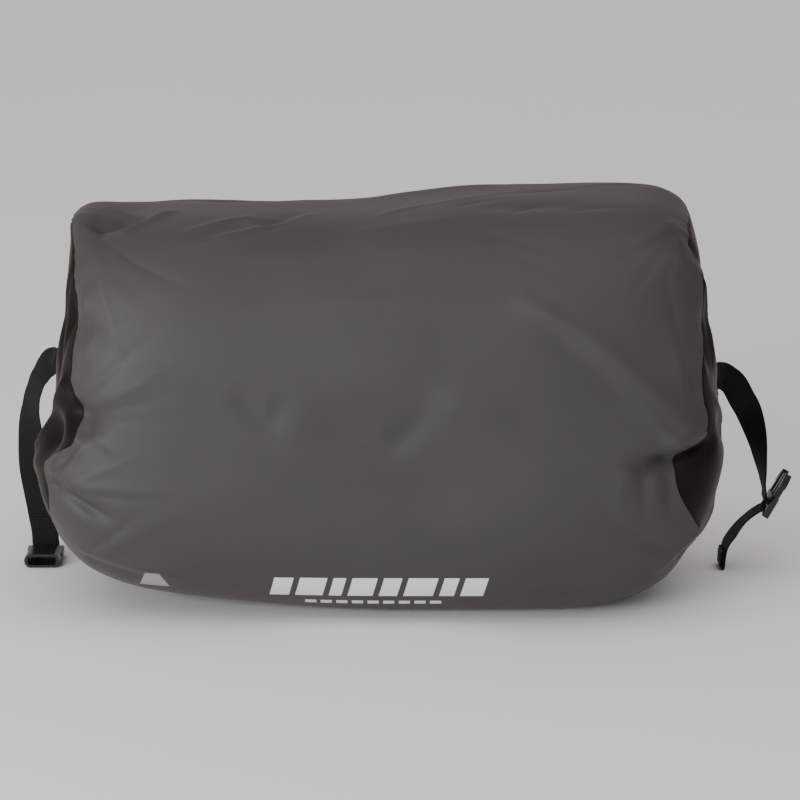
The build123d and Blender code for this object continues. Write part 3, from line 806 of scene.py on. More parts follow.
def webbing(name, colour):
    """Woven strap: ribs across it, and a twill of yarns along it."""
    n = Nodes(name)
    fabric = n.coordinates((1, 1, 1))
    ribs = n.wave(fabric, 230.0, "Y")
    yarns = n.wave(fabric, 190.0, "X", 0.4)
    weave = n.maths("MULTIPLY", ribs, yarns)
    fuzz = n.noise(fabric, 420.0, 2.0)
    mixed = n.maths("ADD", weave, n.maths("MULTIPLY", fuzz, 0.4))
    n.link(n.ramp(mixed, [(0.1, tint(colour, 0.3)), (0.9, tint(colour, 2.8))]), n.shader.inputs["Base Color"])
    n.link(n.bump(mixed, 0.9, 0.0005), n.shader.inputs["Normal"])
    n.set(Roughness=0.66, Sheen_Weight=0.06, Sheen_Roughness=0.4, Specular_IOR_Level=0.20)
    return n.material


def plastic(name, colour, roughness=0.3):
    """Moulded acetal, with a little flow texture and a worn sheen."""
    n = Nodes(name)
    place = n.coordinates((1, 1, 1), uv=False)
    grain = n.noise(place, 900.0, 2.0)
    flow = n.noise(place, 60.0, 3.0)
    n.link(n.ramp(flow, [(0.3, tint(colour, 0.85)), (0.7, tint(colour, 1.2))]), n.shader.inputs["Base Color"])
    rough = n.maths("MULTIPLY_ADD", flow, 0.2)
    rough.node.inputs[2].default_value = roughness - 0.1
    n.link(rough, n.shader.inputs["Roughness"])
    n.link(n.bump(grain, 0.15, 0.0001), n.shader.inputs["Normal"])
    n.set(Specular_IOR_Level=0.5)
    return n.material


def ink(name, colour):
    """Screen print: slightly raised, with a little wear."""
    n = Nodes(name)
    fabric = n.coordinates((1, 1, 1))
    wear = n.noise(fabric, 60.0, 5.0, 0.7)
    n.link(n.ramp(wear, [(0.30, tint(colour, 0.72)), (0.42, colour)]), n.shader.inputs["Base Color"])
    n.link(n.bump(wear, 0.2, 0.0002), n.shader.inputs["Normal"])
    n.set(Roughness=0.42)
    return n.material


def thread(name, colour):
    n = Nodes(name)
    place = n.coordinates((1, 1, 1), uv=False)
    twist = n.wave(place, 900.0, "DIAGONAL")
    n.link(n.ramp(twist, [(0.2, tint(colour, 0.6)), (0.8, tint(colour, 1.5))]), n.shader.inputs["Base Color"])
    n.link(n.bump(twist, 0.6, 0.0002), n.shader.inputs["Normal"])
    n.set(Roughness=0.5)
    return n.material


def matte(name, colour):
    n = Nodes(name)
    place = n.coordinates((1, 1, 1), uv=False)
    cloud = n.noise(place, 3.0)
    n.link(n.ramp(cloud, [(0.3, tint(colour, 0.99)), (0.7, colour)]), n.shader.inputs["Base Color"])
    n.set(Roughness=0.85)
    return n.material


TARP = tarpaulin("tarpaulin", (0.042, 0.0405, 0.0412), 0.58, 0.07, 0.32)
# End panels and anchor patches: darker than the main cloth, partly the cloth's own darker tone and partly
# painted shade for the ends, which face away from the key light.
TARP_END_TONE_AND_SHADE = tarpaulin("tarpaulin_end_tone_and_painted_shade", (0.0062, 0.0046, 0.0036), 0.50, 0.17, 0.12, 0.28)
TAPE = tarpaulin("seam_tape", (0.045, 0.043, 0.043), 0.42, 0.05)
EDGE = cut_edge("cut_edge")
WEBBING = webbing("webbing", (0.0045, 0.0045, 0.0048))
PLASTIC = plastic("buckle_plastic", (0.011, 0.011, 0.0115))
STRIP = plastic("lip_strip", (0.12, 0.12, 0.12), 0.4)
INK = ink("pale_print", (0.72, 0.71, 0.72))
INK_GREY = ink("grey_print", (0.30, 0.28, 0.285))
THREAD = thread("thread", (0.016, 0.016, 0.017))


# --- the bag's pieces ---
POINTS = shape_skin()
NORMALS = vertex_normals(POINTS, SKIN.faces)
COLUMNS = SKIN.main.shape[0]


def fabric_uv():
    """Flat position of each skin vertex on its cloth, in metres: along the bag, then round it."""
    uv = np.zeros((len(POINTS), 2))
    rows = POINTS[SKIN.main]
    round_it = np.linalg.norm(np.diff(rows, axis=1), axis=2).mean(0)
    uv[SKIN.main, 1] = np.concatenate([[0], np.cumsum(round_it)])[None, :] * MM
    uv[SKIN.main, 0] = rows[:, :, 0] * MM
    for grid in SKIN.caps.values():
        uv[grid[1:-1, 1:-1]] = POINTS[grid[1:-1, 1:-1]][..., 1:] * MM
    return uv


UV = fabric_uv()


def main_panel():
    """The wrapped panel, open along its mouth. Its lips stand apart between the mouth's ends."""
    points = np.concatenate([POINTS, POINTS[SKIN.main[:, 0]]])
    normals = np.concatenate([NORMALS, NORMALS[SKIN.main[:, 0]]])
    uv = np.concatenate([UV, UV[SKIN.main[:, 0]]])
    last = len(POINTS) + np.arange(COLUMNS)
    ids = np.concatenate([SKIN.main, last[:, None]], 1)
    gape = LIP * np.sqrt(np.clip(1 - (np.abs(points[ids[:, 0], 0]) / MOUTH_HALF) ** 6, 0, 1))
    closed = np.abs(points[ids[:, 0], 0]) >= MOUTH_HALF
    near = 5
    for j in range(near):
        fade = (1 - j / near) ** 2
        points[ids[:, j], 2] += gape * fade
        points[ids[:, -1 - j], 2] -= gape * fade
        points[ids[:, j], 1] += 1.5 * fade * (gape > 0)
        points[ids[:, -1 - j], 1] += 1.5 * fade * (gape > 0)
    ids[closed, -1] = ids[closed, 0]
    uv[last, 1] = uv[SKIN.main[:, -1], 1] + 0.0025
    faces = Skin.grid_faces(ids)
    # the last column of closed rows shares its vertices with the first
    obj = thick_sheet("main_panel_cloth", points, normals, faces, 0.45, 0.45 - WALL, [TARP, EDGE], uv, 1)
    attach(obj, "bag")
    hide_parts("main_panel")
    return obj


def end_panel(side, name):
    """The end panel, with a flange that tucks under the main panel's edge."""
    flange = 6
    rows = SKIN.main[:flange + 1] if side < 0 else SKIN.main[-flange - 1:]
    strip = Skin.grid_faces(np.concatenate([rows, rows[:, :1]], 1))
    faces = np.concatenate([SKIN.cap_faces[side], strip])
    points = POINTS.copy()
    under = rows[:-1] if side < 0 else rows[1:]
    points[under] -= NORMALS[under] * 0.55
    points[rows] -= NORMALS[rows] * 0.45
    # its dark colour is partly painted shade
    obj = thick_sheet(name + "_cloth", points, NORMALS, faces, 0.0, -WALL, TARP_END_TONE_AND_SHADE, UV)
    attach(obj, "bag")
    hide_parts(name)
    return obj


def seam_tape(side, name):
    """Welded tape inside the end seam, just behind the cloth."""
    width = 4
    rows = SKIN.main[:width + 1] if side < 0 else SKIN.main[-width - 1:]
    faces = Skin.grid_faces(np.concatenate([rows, rows[:, :1]], 1))
    obj = thick_sheet(name + "_strip", POINTS, NORMALS, faces, -2.4, -2.9, TAPE, UV)
    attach(obj, "bag")
    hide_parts(name)
    return obj


def skin_tree():
    return BVHTree.FromPolygons((POINTS).tolist(), SKIN.faces.tolist())


TREE = skin_tree()


def drop(origin, direction):
    """Where a ray meets the skin: the point and the outward normal there."""
    hit, _, index, _ = TREE.ray_cast(Vector(origin), Vector(direction))
    if hit is None:
        hit, _, index, _ = TREE.find_nearest(Vector(origin))
    corner = SKIN.faces[index]
    weights = 1 / (np.linalg.norm(POINTS[corner] - np.array(hit), axis=1) + 1e-3)
    normal = (NORMALS[corner] * weights[:, None]).sum(0)
    return np.array(hit), normal / np.linalg.norm(normal)


def on_skin(name, lattice, start, direction, thick, lift, material):
    """A thin piece that follows the skin. lattice is rows of points to drop along direction."""
    rows, columns = lattice.shape[:2]
    points = np.zeros((rows * columns, 3))
    normals = np.zeros_like(points)
    for i, target in enumerate(lattice.reshape(-1, 3)):
        hit, normal = drop(target - np.array(direction) * start, direction)
        points[i], normals[i] = hit, normal
    ids = np.arange(rows * columns).reshape(rows, columns)
    faces = Skin.grid_faces(ids)
    a, b, c = points[faces[0, 0]], points[faces[0, 1]], points[faces[0, 2]]
    if np.dot(np.cross(b - a, c - a), normals[faces[0, 0]]) < 0:
        faces = faces[:, ::-1]
    lengths = np.stack(np.meshgrid(np.arange(columns), np.arange(rows)), -1).reshape(-1, 2)
    step = np.linalg.norm(lattice[0, 1] - lattice[0, 0]), np.linalg.norm(lattice[1, 0] - lattice[0, 0])
    return thick_sheet(name, points, normals, faces, lift + thick, lift, material, lengths * step * MM)


def lattice_between(corners, across, down):
    """Rows of points over a four-cornered patch: top-left, top-right, bottom-right, bottom-left."""
    a, b, c, d = (np.array(p, float) for p in corners)
    u = np.linspace(0, 1, across + 1)[None, :, None]
    v = np.linspace(0, 1, down + 1)[:, None, None]
    return (a * (1 - u) + b * u) * (1 - v) + (d * (1 - u) + c * u) * v


def front_patch(name, outline, lift, material, across=10, down=6):
    """A thin print or patch on the front face. outline gives its corners' x and z."""
    corners = [(x, 0, z) for x, z in outline]
    obj = on_skin(name, lattice_between(corners, across, down), 300, (0, 1, 0), 0.22, lift, material)
    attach(obj, "bag")
    return obj


def prints():
    """A generic printed bar of slanted blocks where a bag carries its name, and a thin line under it."""
    corners = [(-209.5, 49), (-197, 49), (-189, 33), (-216, 33)]
    patch = front_patch("face_patch_print", corners, 0.35, INK_GREY, 8, 8)
    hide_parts("face_patch")
    low, high, slant = 27.0, 47.0, 5.0
    widths = [17, 24, 11, 22, 16, 26, 13, 20]
    gap = 5.5
    x = -101.0
    for i, width in enumerate(widths):
        outline = [(x + slant, high), (x + width + slant, high), (x + width, low), (x, low)]
        front_patch(f"print_block_{i + 1}", outline, 0.35, INK, 8, 8)
        x += width + gap
    dashes = 9
    left, right = -70.0, 54.0
    pitch = (right - left) / dashes
    for i in range(dashes):
        start = left + i * pitch
        outline = [(start, 20.5), (start + pitch * 0.72, 20.5), (start + pitch * 0.72, 16.5), (start, 16.5)]
        front_patch(f"print_dash_{i + 1}", outline, 0.35, INK, 4, 2)


def end_patch(name, node, side, y0, y1, z0, z1, lift, thick, material):
    corners = [(0, y0, z1), (0, y1, z1), (0, y1, z0), (0, y0, z0)]
    lattice = lattice_between(corners, max(6, int((y1 - y0) / 3)), max(4, int((z1 - z0) / 3)))
    obj = on_skin(name, lattice, 400, (-side, 0, 0), thick, lift, material)
    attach(obj, "bag")
    if node:
        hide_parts(node)
    return obj


def anchor(side, name, z, y0, y1):
    """Welded patch, the sewn webbing on it, and its box of stitches."""
    half = 12.5
    margin = 10.0
    prefix = f"{name}_anchor"
    # the patch takes the end panels' colour, which is partly painted shade
    end_patch(f"{prefix}_patch_piece", f"{prefix}_patch", side, y0 - margin, y1 - 2, z - half - margin,
              z + half + margin, 0.0, 0.8, TARP_END_TONE_AND_SHADE)
    end_patch(f"{prefix}_webbing_piece", f"{prefix}_webbing", side, y0, y1, z - half, z + half, 0.8, 1.6,
              WEBBING)
    stitches(side, prefix, z, y0)


def stitches(side, prefix, z, y0):
    """Rows of single stitches, each a short rounded thread, in one piece."""
    low, high = z - 9.5, z + 9.5
    first, last = y0 + 3, y0 + 46
    runs = []
    for row in (low, high):
        runs += [((y, row), (y + 3.0, row)) for y in np.arange(first, last - 2, 4.5)]
    for column in (first, last):
        runs += [((column, v), (column, v + 3.0)) for v in np.arange(low + 1.5, high - 2, 4.5)]
    verts, faces = [], []
    for (ya, za), (yb, zb) in runs:
        a, normal = drop((side * 400, ya, za), (-side, 0, 0))
        b, _ = drop((side * 400, yb, zb), (-side, 0, 0))
        stitch_mesh(a + normal * 2.4, b + normal * 2.4, normal, verts, faces)
    obj = make_mesh(f"{prefix}_stitching_piece", verts, faces, THREAD)
    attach(obj, "bag")
    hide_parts(f"{prefix}_stitching")


def stitch_mesh(a, b, normal, verts, faces, width=0.45):
    """One thread that comes up, lies along the webbing and dives again."""
    travel = (b - a) / np.linalg.norm(b - a)
    across = np.cross(travel, normal)
    rings = 7
    sides = 6
    base = len(verts)
    for i in range(rings):
        t = i / (rings - 1)
        centre = a + (b - a) * t + normal * (0.35 * math.sin(math.pi * t) - 0.12)
        radius = width / 2 * (0.75 + 0.25 * math.sin(math.pi * t))
        for j in range(sides):
            turn = 2 * math.pi * j / sides
            verts.append(centre + across * radius * math.cos(turn) + normal * radius * math.sin(turn))
    for i in range(rings - 1):
        for j in range(sides):
            k = (j + 1) % sides
            faces.append((base + i * sides + j, base + i * sides + k, base + (i + 1) * sides + k,
                          base + (i + 1) * sides + j))
    faces.append(tuple(base + j for j in reversed(range(sides))))
    faces.append(tuple(base + (rings - 1) * sides + j for j in range(sides)))


# --- webbing ---
def hermite(stations, steps=10):
    """Denser stations of (point, travel, width direction) on a smooth curve."""
    out = []
    rows = [[np.array(v, float) for v in s] for s in stations]
    for (p0, t0, w0), (p1, t1, w1) in zip(rows, rows[1:]):
        reach_ = np.linalg.norm(p1 - p0)
        m0, m1 = t0 / np.linalg.norm(t0) * reach_, t1 / np.linalg.norm(t1) * reach_
        first = 0 if not out else 1
        for i in range(first, steps + 1):
            u = i / steps
            point = ((2 * u**3 - 3 * u**2 + 1) * p0 + (u**3 - 2 * u**2 + u) * m0
                     + (3 * u**2 - 2 * u**3) * p1 + (u**3 - u**2) * m1)
            travel = ((6 * u**2 - 6 * u) * p0 + (3 * u**2 - 4 * u + 1) * m0
                      + (6 * u - 6 * u**2) * p1 + (3 * u**2 - 2 * u) * m1)
            out.append((point, travel, w0 * (1 - u) + w1 * u))
    return out


def strap_outline(width, thick):
    """Cross-section of webbing: flat faces, rounded selvedges, and a slight crown."""
    half, edge = width / 2, thick / 2
    flat = np.linspace(-half + edge, half - edge, 13)
    turns = np.linspace(-90, 90, 7)[1:-1]
    bottom = [(x, -edge + 0.06 * math.cos(x * 2.1)) for x in flat]
    right = [(half - edge + edge * math.cos(math.radians(t)), edge * math.sin(math.radians(t)))
             for t in turns]
    top = [(x, edge - 0.06 * math.cos(x * 2.1)) for x in flat[::-1]]
    left = [(-half + edge - edge * math.cos(math.radians(t)), edge * math.sin(math.radians(t)))
            for t in turns[::-1]]
    return bottom + right + top + left


def strap_mesh(stations, width=25.0, thick=1.6):
    """Points, faces and uv of webbing along dense stations."""
    outline = np.array(strap_outline(width, thick))
    around = len(outline)
    verts, uv = [], []
    length = 0.0
    previous = None
    for point, travel, across in stations:
        t = travel / np.linalg.norm(travel)
        w = across - np.dot(across, t) * t
        w = w / np.linalg.norm(w)
        n = np.cross(t, w)
        if previous is not None:
            length += np.linalg.norm(point - previous)
        previous = point
        for a, b in outline:
            verts.append(point + w * a + n * b)
            uv.append((a * MM, length * MM))
    faces = []
    for i in range(len(stations) - 1):
        for j in range(around):
            k = (j + 1) % around
            faces.append((i * around + j, i * around + k, (i + 1) * around + k, (i + 1) * around + j))
    faces.append(tuple(reversed(range(around))))
    faces.append(tuple((len(stations) - 1) * around + j for j in range(around)))
    return np.array(verts), faces, np.array(uv)


def strap(name, parts, body, nodes, material=None):
    """One webbing object from several lists of dense stations, each with its own thickness."""
    verts, faces, uv = [], [], []
    for stations, thick in parts:
        v, f, t = strap_mesh(stations, thick=thick)
        base = sum(len(x) for x in verts)
        verts.append(v)
        uv.append(t)
        faces += [tuple(i + base for i in face) for face in f]
    obj = make_mesh(name, np.concatenate(verts), faces, material or WEBBING, np.concatenate(uv))
    if isinstance(body, str):
        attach(obj, body)
    if nodes:
        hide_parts(*nodes)
    return obj


def ring_stations(centre, x_dir, y_dir, radius, first, last, across, steps=16):
    centre, x_dir, y_dir = (np.array(v, float) for v in (centre, x_dir, y_dir))
    out = []
    for i in range(steps + 1):
        turn = math.radians(first + (last - first) * i / steps)
        point = centre + x_dir * radius * math.cos(turn) + y_dir * radius * math.sin(turn)
        travel = (-x_dir * math.sin(turn) + y_dir * math.cos(turn)) * (1 if last > first else -1)
        out.append((point, travel, np.array(across, float)))
    return out


# --- the straps, in the order that the webbing runs ---
LEFT_BAR = np.array([-321.0, 88.0, 6.6])
RIGHT_BAR = np.array([356.5, 50.0, 60.0])
RIGHT_DIR = np.array([0.49, 0.0, 0.872]) / math.hypot(0.49, 0.872)
RIGHT_OUT = np.array([-RIGHT_DIR[2], 0.0, RIGHT_DIR[0]])
LOOP_R = 2.9
UP, DOWN, LEFT, RIGHT = (0, 0, 1), (0, 0, -1), (-1, 0, 0), (1, 0, 0)
LEFT_LEAN = (4.0, 0, 20)
RIGHT_LEAN = (-2.5, 0, 20)
ROLL_Y, ROLL_Z = 193.0, 151.0


def left_strap():
    """Leaves its sewn end, turns over once, hangs, and is sewn back on itself round the socket's bar."""
    x0, y0, z0 = -306.917, 59.2, 196.0
    bx, by, bz = LEFT_BAR
    root = drop((-400, 52, z0), (1, 0, 0))
    start = root[0] + root[1] * 1.6
    fall = [
        (start, (0, 1, 0), LEFT_LEAN),
        ((x0, y0, z0), (-0.1, 1, 0), LEFT_LEAN),
        ((x0 - 2.5, y0 + 3.4, z0 - 1.2), (-0.65, 0.65, -0.35), (-0.08, 0.2, 0.97)),
        ((x0 - 7.0, y0 + 5.0, z0 - 6.5), (-0.72, 0.1, -0.68), (-0.42, 0.55, 0.70)),
        ((x0 - 13.6, y0 + 6.2, z0 - 16), (-0.62, 0.05, -0.78), (-0.52, 0.74, 0.42)),
        ((x0 - 19.6, y0 + 7.8, z0 - 30), (-0.36, 0.08, -0.93), (-0.58, 0.78, 0.22)),
        ((x0 - 23.4, y0 + 10.4, z0 - 48), (-0.14, 0.12, -0.98), (-0.70, 0.71, 0.08)),
        ((x0 - 24.6, y0 + 14, z0 - 70), (0, 0.12, -0.99), (-0.93, 0.36, 0.03)),
        ((bx - 9.5, by - 12.5, 88), (0.1, 0.12, -0.98), LEFT),
        ((bx - 3.5, by - 6.5, 45), (0.12, 0.12, -0.98), LEFT),
        ((bx - 0.5, by - 3.5, 20), DOWN, LEFT),
        ((bx, by - LOOP_R, bz), DOWN, LEFT),
    ]
    loop = ring_stations(LEFT_BAR, (0, 1, 0), UP, LOOP_R, 180, 360, LEFT)
    back = [
        ((bx, by + LOOP_R, bz), UP, LEFT),
        ((bx - 0.5, by - 1.2, 20), UP, LEFT),
        ((bx - 3.5, by - 4.1, 45), (-0.12, -0.12, 0.98), LEFT),
        ((bx - 6.2, by - 6.4, 64), (-0.12, -0.12, 0.98), LEFT),
        ((bx - 8.6, by - 8.2, 80), (-0.12, -0.12, 0.98), LEFT),
    ]
    fold = [
        ((bx - 8.6, by - 8.2, 80), (-0.12, -0.12, 0.98), LEFT),
        ((bx - 8.8, by - 7.2, 81.6), (0, 0.9, 0.2), LEFT),
        ((bx - 8.5, by - 6.2, 80), (0.12, 0.2, -0.98), LEFT),
        ((bx - 6.2, by - 4.5, 64), (0.12, 0.12, -0.98), LEFT),
    ]
    line = hermite(fall) + loop[1:] + hermite(back)[1:] + hermite(fold)[1:]
    obj = strap("left_strap_webbing_piece", [(line, 1.6)], None, ["left_strap_webbing"])
    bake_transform(obj)
    bar_tacks("left_strap_stitching_piece", "left_strap_stitching", "left_strap",
              (bx - 2.3, by - 6.3, 35), RIGHT, (0.12, 0.12, -0.98), (0, -0.99, -0.12), (-4, -1.5, 1.5, 4))


def bar_tacks(name, node, body, origin, across, travel, normal, rows):
    """Rows of short stitches across the webbing."""
    across, travel, normal = (np.array(v, float) / np.linalg.norm(v) for v in (across, travel, normal))
    verts, faces = [], []
    count, pitch, length = 6, 3.6, 2.8
    for distance in rows:
        for i in range(count):
            x = (i - (count - 1) / 2) * pitch
            a = np.array(origin) + across * (x - length / 2) + travel * distance + normal * 0.9
            stitch_mesh(a, a + across * length, normal, verts, faces)
    obj = make_mesh(name, verts, faces, THREAD)
    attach(obj, body)
    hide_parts(node)


def right_point(along, out):
    return RIGHT_BAR + RIGHT_DIR * along + RIGHT_OUT * out


def right_strap():
    """Leaves its sewn end face-on, turns edge-on and goes through the plug's ladder slots."""
    x0, y0, z0 = 308.224, 49.2, 184.0
    side = (0, -1, 0)
    root = drop((400, 42, z0), (-1, 0, 0))
    start = root[0] + root[1] * 1.6
    fall = [
        (start, (0, 1, 0), RIGHT_LEAN),
        ((x0, y0, z0), (0.1, 1, 0), RIGHT_LEAN),
        ((x0 + 3, y0 + 3.0, z0 - 0.6), (0.7, 0.7, -0.2), RIGHT_LEAN),
        ((x0 + 9.5, y0 + 4.4, z0 - 4.6), (0.85, 0, -0.52), (0.35, 0, 0.93)),
        ((x0 + 24, y0 + 3.6, z0 - 26), (0.55, 0, -0.83), (0.83, 0, 0.55)),
        ((x0 + 33, y0 + 2.8, z0 - 47), (0.3, 0, -0.95), (0.8, -0.5, 0.3)),
        ((x0 + 39, y0 + 2.0, z0 - 72), (0.15, 0, -0.98), (0.5, -0.86, 0.1)),
        ((351.2, 50, 84), (0.05, 0, -1), (0.1, -1, 0)),
        (right_point(6.5, 8.2), (-0.3, 0, -0.95), side),
        (right_point(LOOP_R, 4.2), -RIGHT_OUT, side),
        (right_point(LOOP_R, 0), -RIGHT_OUT, side),
    ]
    loop = ring_stations(RIGHT_BAR, RIGHT_DIR, RIGHT_OUT, LOOP_R, 360, 180, side)
    line = hermite(fall) + loop[1:]
    obj = strap("right_strap_webbing_piece", [(line, 1.6)], None, ["right_strap_webbing"])
    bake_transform(obj)


def right_tail():
    """The free end: out of the slot, down to the floor, with a folded and sewn stop."""
    side = np.array([0, -1, 0])
    low_x, low_z = 317.2, 20.0
    fall = [
        (right_point(-LOOP_R, 0.2), RIGHT_OUT, side),
        (right_point(-3.6, 3.0), (RIGHT_OUT - RIGHT_DIR * 0.5), side),
        (right_point(-8.2, 6.4), (-0.85, 0, -0.52), side),
        ((335.5, 50, 47), (-0.72, 0, -0.69), side),
        ((324.5, 50, 33), (-0.55, 0, -0.83), (0.15, -1, 0)),
        ((low_x, 50, low_z), (-0.2, 0, -0.98), (0.1, -1, 0)),
        ((low_x - 1.4, 50, 1.8), (-0.1, 0, -1), side),
    ]
    fold = [
        ((low_x - 1.4, 50, 1.8), (-0.1, 0, -1), side),
        ((low_x - 2.3, 50, 1.2), (-1, 0, 0), side),
        ((low_x - 3.2, 50, 1.8), (0.1, 0, 1), side),
        ((low_x - 2.2, 50, 17), (0.1, 0, 1), side),
        ((low_x - 3.0, 50, 18.2), (-1, 0, 0.1), side),
        ((low_x - 3.9, 50, 17), (-0.1, 0, -1), side),
        ((low_x - 4.9, 50, 4), (-0.1, 0, -1), side),
    ]
    line = hermite(fall) + hermite(fold, 5)[1:]
    obj = strap("right_strap_tail_piece", [(line, 1.5)], None, ["right_strap_tail"])
    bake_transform(obj)
    bar_tacks("right_tail_stitching_piece", "right_tail_stitching", "right_tail",
              (312.6, 50, 14), (0, 1, 0), DOWN, (-1, 0, 0.05), (-2, 1, 4))


def roll_tab(side, name, node):
    """The lips' end tab: webbing that comes out of the roll and hangs round the buckle's bar."""
    y, z = ROLL_Y, ROLL_Z
    x = side * 258.0
    start = side * 246.0
    across = (0, 1, 0)
    drop_z = z - 24
    outward = (side, 0, 0)
    front = [
        ((start, y, z + 0.9), outward, across),
        ((x - side * 2, y, z + 0.7), outward, across),
        ((x + side * LOOP_R, y, z - 4), (side * 0.3, 0, -0.95), across),
        ((x + side * LOOP_R, y, drop_z), DOWN, across),
    ]
    loop = ring_stations((x, y, drop_z), (side, 0, 0), UP, LOOP_R, 0, -180, across)
    rear = [
        ((x - side * LOOP_R, y, drop_z), UP, across),
        ((x - side * LOOP_R, y, z - 5), UP, across),
        ((x - side * 4.6, y, z - 1.2), (-side * 0.8, 0, 0.4), across),
        ((start, y, z - 0.9), (-side, 0, 0), across),
    ]
    line = hermite(front) + loop[1:] + hermite(rear)[1:]
    obj = strap(name, [(line, 1.6)], None, [node])
    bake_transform(obj)


# --- the rolled mouth ---
def racetrack(turn, radius, flat=9.0):
    """Point at a turn (in radians) and radius on a racetrack, as (y, z) from the roll's axis."""
    swing = flat * math.tanh(3.0 * math.cos(turn))
    return swing + radius * math.cos(turn), radius * math.sin(turn)


def roll_line(x):
    """The spiral's middle line at x, a little looser towards the ends."""
    turns, first, last = 3.0, 2.8, 11.6
    points = []
    steps = 132
    for i in range(steps + 1):
        share = i / steps
        turn = 2 * math.pi * (turns * share + 0.295)
        radius = first + (last - first) * share**1.35
        loose = 0.5 * math.sin(x / 37.0 + 2.2 * share * 5) + 0.35 * math.sin(x / 13.0 + share * 17)
        ends = smoothstep(215, 250, np.abs(np.array([x])))[0]
        radius += (loose * (0.25 + 0.35 * share)) + 0.7 * ends * share
        points.append(racetrack(turn, radius))
    return np.array(points)


def rolled_neck():
    stations = np.concatenate([
        np.linspace(-250, -238, 7),
        np.linspace(-230, 230, 93),
        np.linspace(238, 250, 7),
    ])
    lines = np.array([roll_line(x) for x in stations])
    rows, columns = lines.shape[:2]
    points = np.zeros((rows, columns, 3))
    points[..., 0] = stations[:, None]
    points[..., 1] = ROLL_Y + lines[..., 0]
    points[..., 2] = ROLL_Z + lines[..., 1]
    points[..., 0] += np.where(np.abs(stations) > 240, 1, 0)[:, None] * 0.5 * np.sin(np.arange(columns) / 9.0)
    points[..., 0] = np.clip(points[..., 0], -250.4, 250.4)
    ids = np.arange(rows * columns).reshape(rows, columns)
    faces = Skin.grid_faces(ids)
    flat = points.reshape(-1, 3)
    normals = vertex_normals(flat, faces)
    length = np.concatenate([[0], np.cumsum(np.linalg.norm(np.diff(lines[0], axis=0), axis=1))])
    uv = np.stack([np.broadcast_to(stations[:, None], (rows, columns)),
                   np.broadcast_to(length[None, :], (rows, columns))], -1).reshape(-1, 2) * MM
    for index, (outer, inner) in enumerate(((0.88, 0.04), (-0.04, -0.88))):
        name = f"rolled_neck_ply_{index + 1}"
        obj = thick_sheet(name, flat, normals, faces, outer, inner, [TARP, EDGE], uv, 1)
        cut_ends_only(obj, 249.0)
        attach(obj, "roll")
        if index == 0:
            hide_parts("rolled_neck")


def cut_ends_only(obj, limit):
    """Only the edges past this distance along the bag show as cut edges."""
    for polygon in obj.data.polygons:
        if abs(polygon.center.x) < limit * MM:
            polygon.material_index = 0


def neck():
    """The two plies between the mouth's lips and the roll. They leave it as a tangent over its top."""
    span = np.linspace(-233, 233, 118)
    for name, sign in (("upper", 1), ("lower", -1)):
        rows = []
        for x in span:
            lip = drop((x, 300, WIDE_Z + sign * 1.5), (0, -1, 0))[0]
            wave = 0.8 * math.sin(x / 29.0 + sign) + 0.5 * math.sin(x / 11.0)
            top = ROLL_Z + 11.25 + 0.46 * sign
            path = [
                (lip[1] - 2.5, WIDE_Z + sign * 3.6),
                (lip[1] + 2.5, WIDE_Z + sign * 3.2),
                (158.5, WIDE_Z + sign * 2.6 + wave * 0.5),
                (164.5, WIDE_Z + sign * 1.7 + wave * 0.5),
                (171.0, WIDE_Z - 1.4 + sign * 0.8),
                (177.0, top + 0.9),
                (182.8, top),
            ]
            t = np.arange(len(path))
            fine = np.linspace(0, len(path) - 1, 36)
            y = curve_through(list(zip(t, [p[0] for p in path])), fine)
            z = curve_through(list(zip(t, [p[1] for p in path])), fine)
            rows.append(np.stack([np.full_like(y, x), y, z], -1))
        points = np.array(rows)
        ids = np.arange(points.shape[0] * points.shape[1]).reshape(points.shape[:2])
        faces = Skin.grid_faces(ids)
        flat = points.reshape(-1, 3)
        normals = vertex_normals(flat, faces)
        uv = flat[:, :2] * MM
        obj = thick_sheet(f"neck_ply_{name}", flat, normals, faces, 0.42, -0.42, [TARP, EDGE], uv, 1)
        cut_ends_only(obj, 232.4)
        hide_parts("neck_band")
        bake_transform(obj)


# --- moulded pieces that keep their CAD shape ---
def finish_plastic():
    """Rounded mould edges on the CAD buckles and lip strips."""
    for name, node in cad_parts.items():
        if "buckle" in name or "plug" in name or "stiffener" in name:
            node.data.materials.clear()
            node.data.materials.append(STRIP if "stiffener" in name else PLASTIC)
            bevel = node.modifiers.new("rounded_edges", "BEVEL")
            bevel.width = 0.0005 if "prong" not in name else 0.0004
            bevel.segments = 3
            bevel.limit_method = "ANGLE"
            bevel.angle_limit = math.radians(35)
            bevel.harden_normals = False


# --- the room ---
CAMERA_PLACE = (0.0138, -2.8708, 0.8349)
CAMERA_DOWN = 13           # degrees below the level
CAMERA_LENS = 145.8
CAMERA_SENSOR = 36


def camera():
    data = bpy.data.cameras.new("camera")
    data.sensor_width = CAMERA_SENSOR
    data.lens = CAMERA_LENS
    data.clip_end = 50
    obj = bpy.data.objects.new("camera", data)
    obj.location = CAMERA_PLACE
    obj.rotation_euler = (math.radians(90 - CAMERA_DOWN), 0, 0)
    bpy.context.scene.collection.objects.link(obj)
    bpy.context.scene.camera = obj


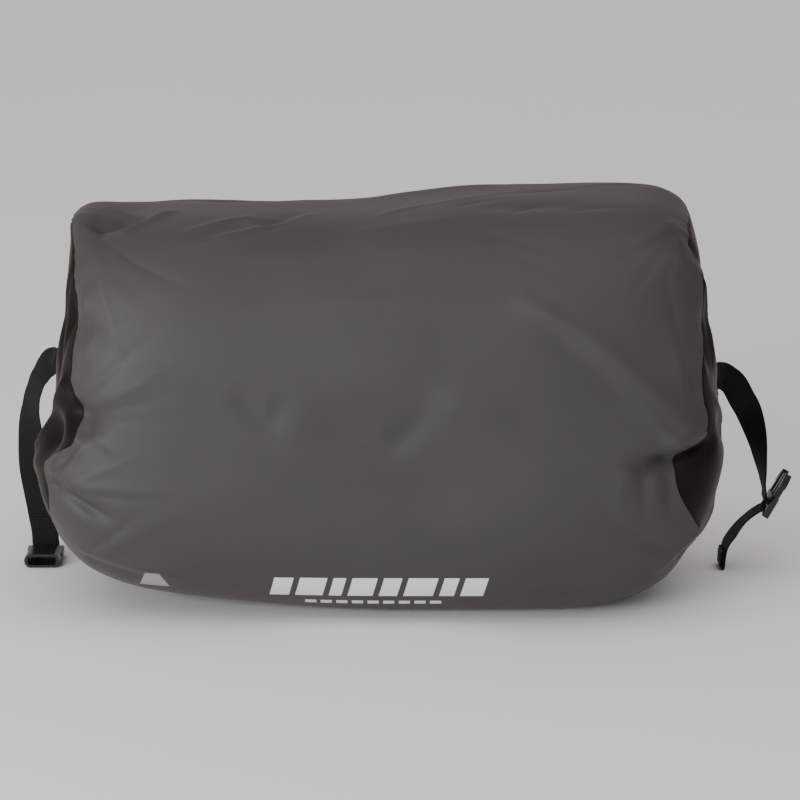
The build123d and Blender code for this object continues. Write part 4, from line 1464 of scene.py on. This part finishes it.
def soft_sun(name, left, up, spread, strength, colour):
    """A broad, even light from so many degrees left of the camera and so many up."""
    data = bpy.data.lights.new(name, "SUN")
    data.angle = math.radians(spread)
    data.energy = strength
    data.color = colour
    obj = bpy.data.objects.new(name, data)
    turn, rise = math.radians(left), math.radians(up)
    source = Vector((-math.sin(turn) * math.cos(rise), -math.cos(turn) * math.cos(rise), math.sin(rise)))
    obj.rotation_euler = (-source).to_track_quat("-Z", "Y").to_euler()
    obj.location = source * 3
    bpy.context.scene.collection.objects.link(obj)


def soft_light(name, place, target, size, power, colour):
    data = bpy.data.lights.new(name, "AREA")
    data.shape = "RECTANGLE"
    data.size, data.size_y = size
    data.energy = power
    data.color = colour
    obj = bpy.data.objects.new(name, data)
    obj.location = place
    obj.rotation_euler = (Vector(target) - Vector(place)).to_track_quat("-Z", "Y").to_euler()
    bpy.context.scene.collection.objects.link(obj)


def room():
    floor_material = matte("floor_paper", (0.93, 0.94, 0.945))
    edge = 6000
    floor = make_mesh("floor", [(-edge, -edge, 0), (edge, -edge, 0), (edge, edge, 0), (-edge, edge, 0)],
                      [(0, 1, 2, 3)], floor_material)
    world = bpy.data.worlds.new("studio")
    bpy.context.scene.world = world
    world.use_nodes = True
    background = world.node_tree.nodes["Background"]
    background.inputs["Color"].default_value = (1.0, 0.98, 0.97, 1)
    background.inputs["Strength"].default_value = 0.42
    soft_light("key", (-1.7, -2.3, 0.70), (-0.1, 0, 0.17), (1.5, 1.0), 74, (1.0, 0.995, 1.0))
    soft_sun("top", 10, 72, 70, 1.2, (1.0, 0.94, 0.91))


camera()
main_panel()
end_panel(-1, "left_end_panel")
end_panel(1, "right_end_panel")
seam_tape(-1, "left_seam_tape")
seam_tape(1, "right_seam_tape")
anchor(-1, "left", 200.0, -22.0, 58.0)
anchor(1, "right", 196.0, -32.0, 48.0)
prints()
left_strap()
right_strap()
right_tail()
rolled_neck()
neck()
roll_tab(-1, "roll_left_tab_piece", "roll_left_tab")
roll_tab(1, "roll_right_tab_piece", "roll_right_tab")
finish_plastic()
room()
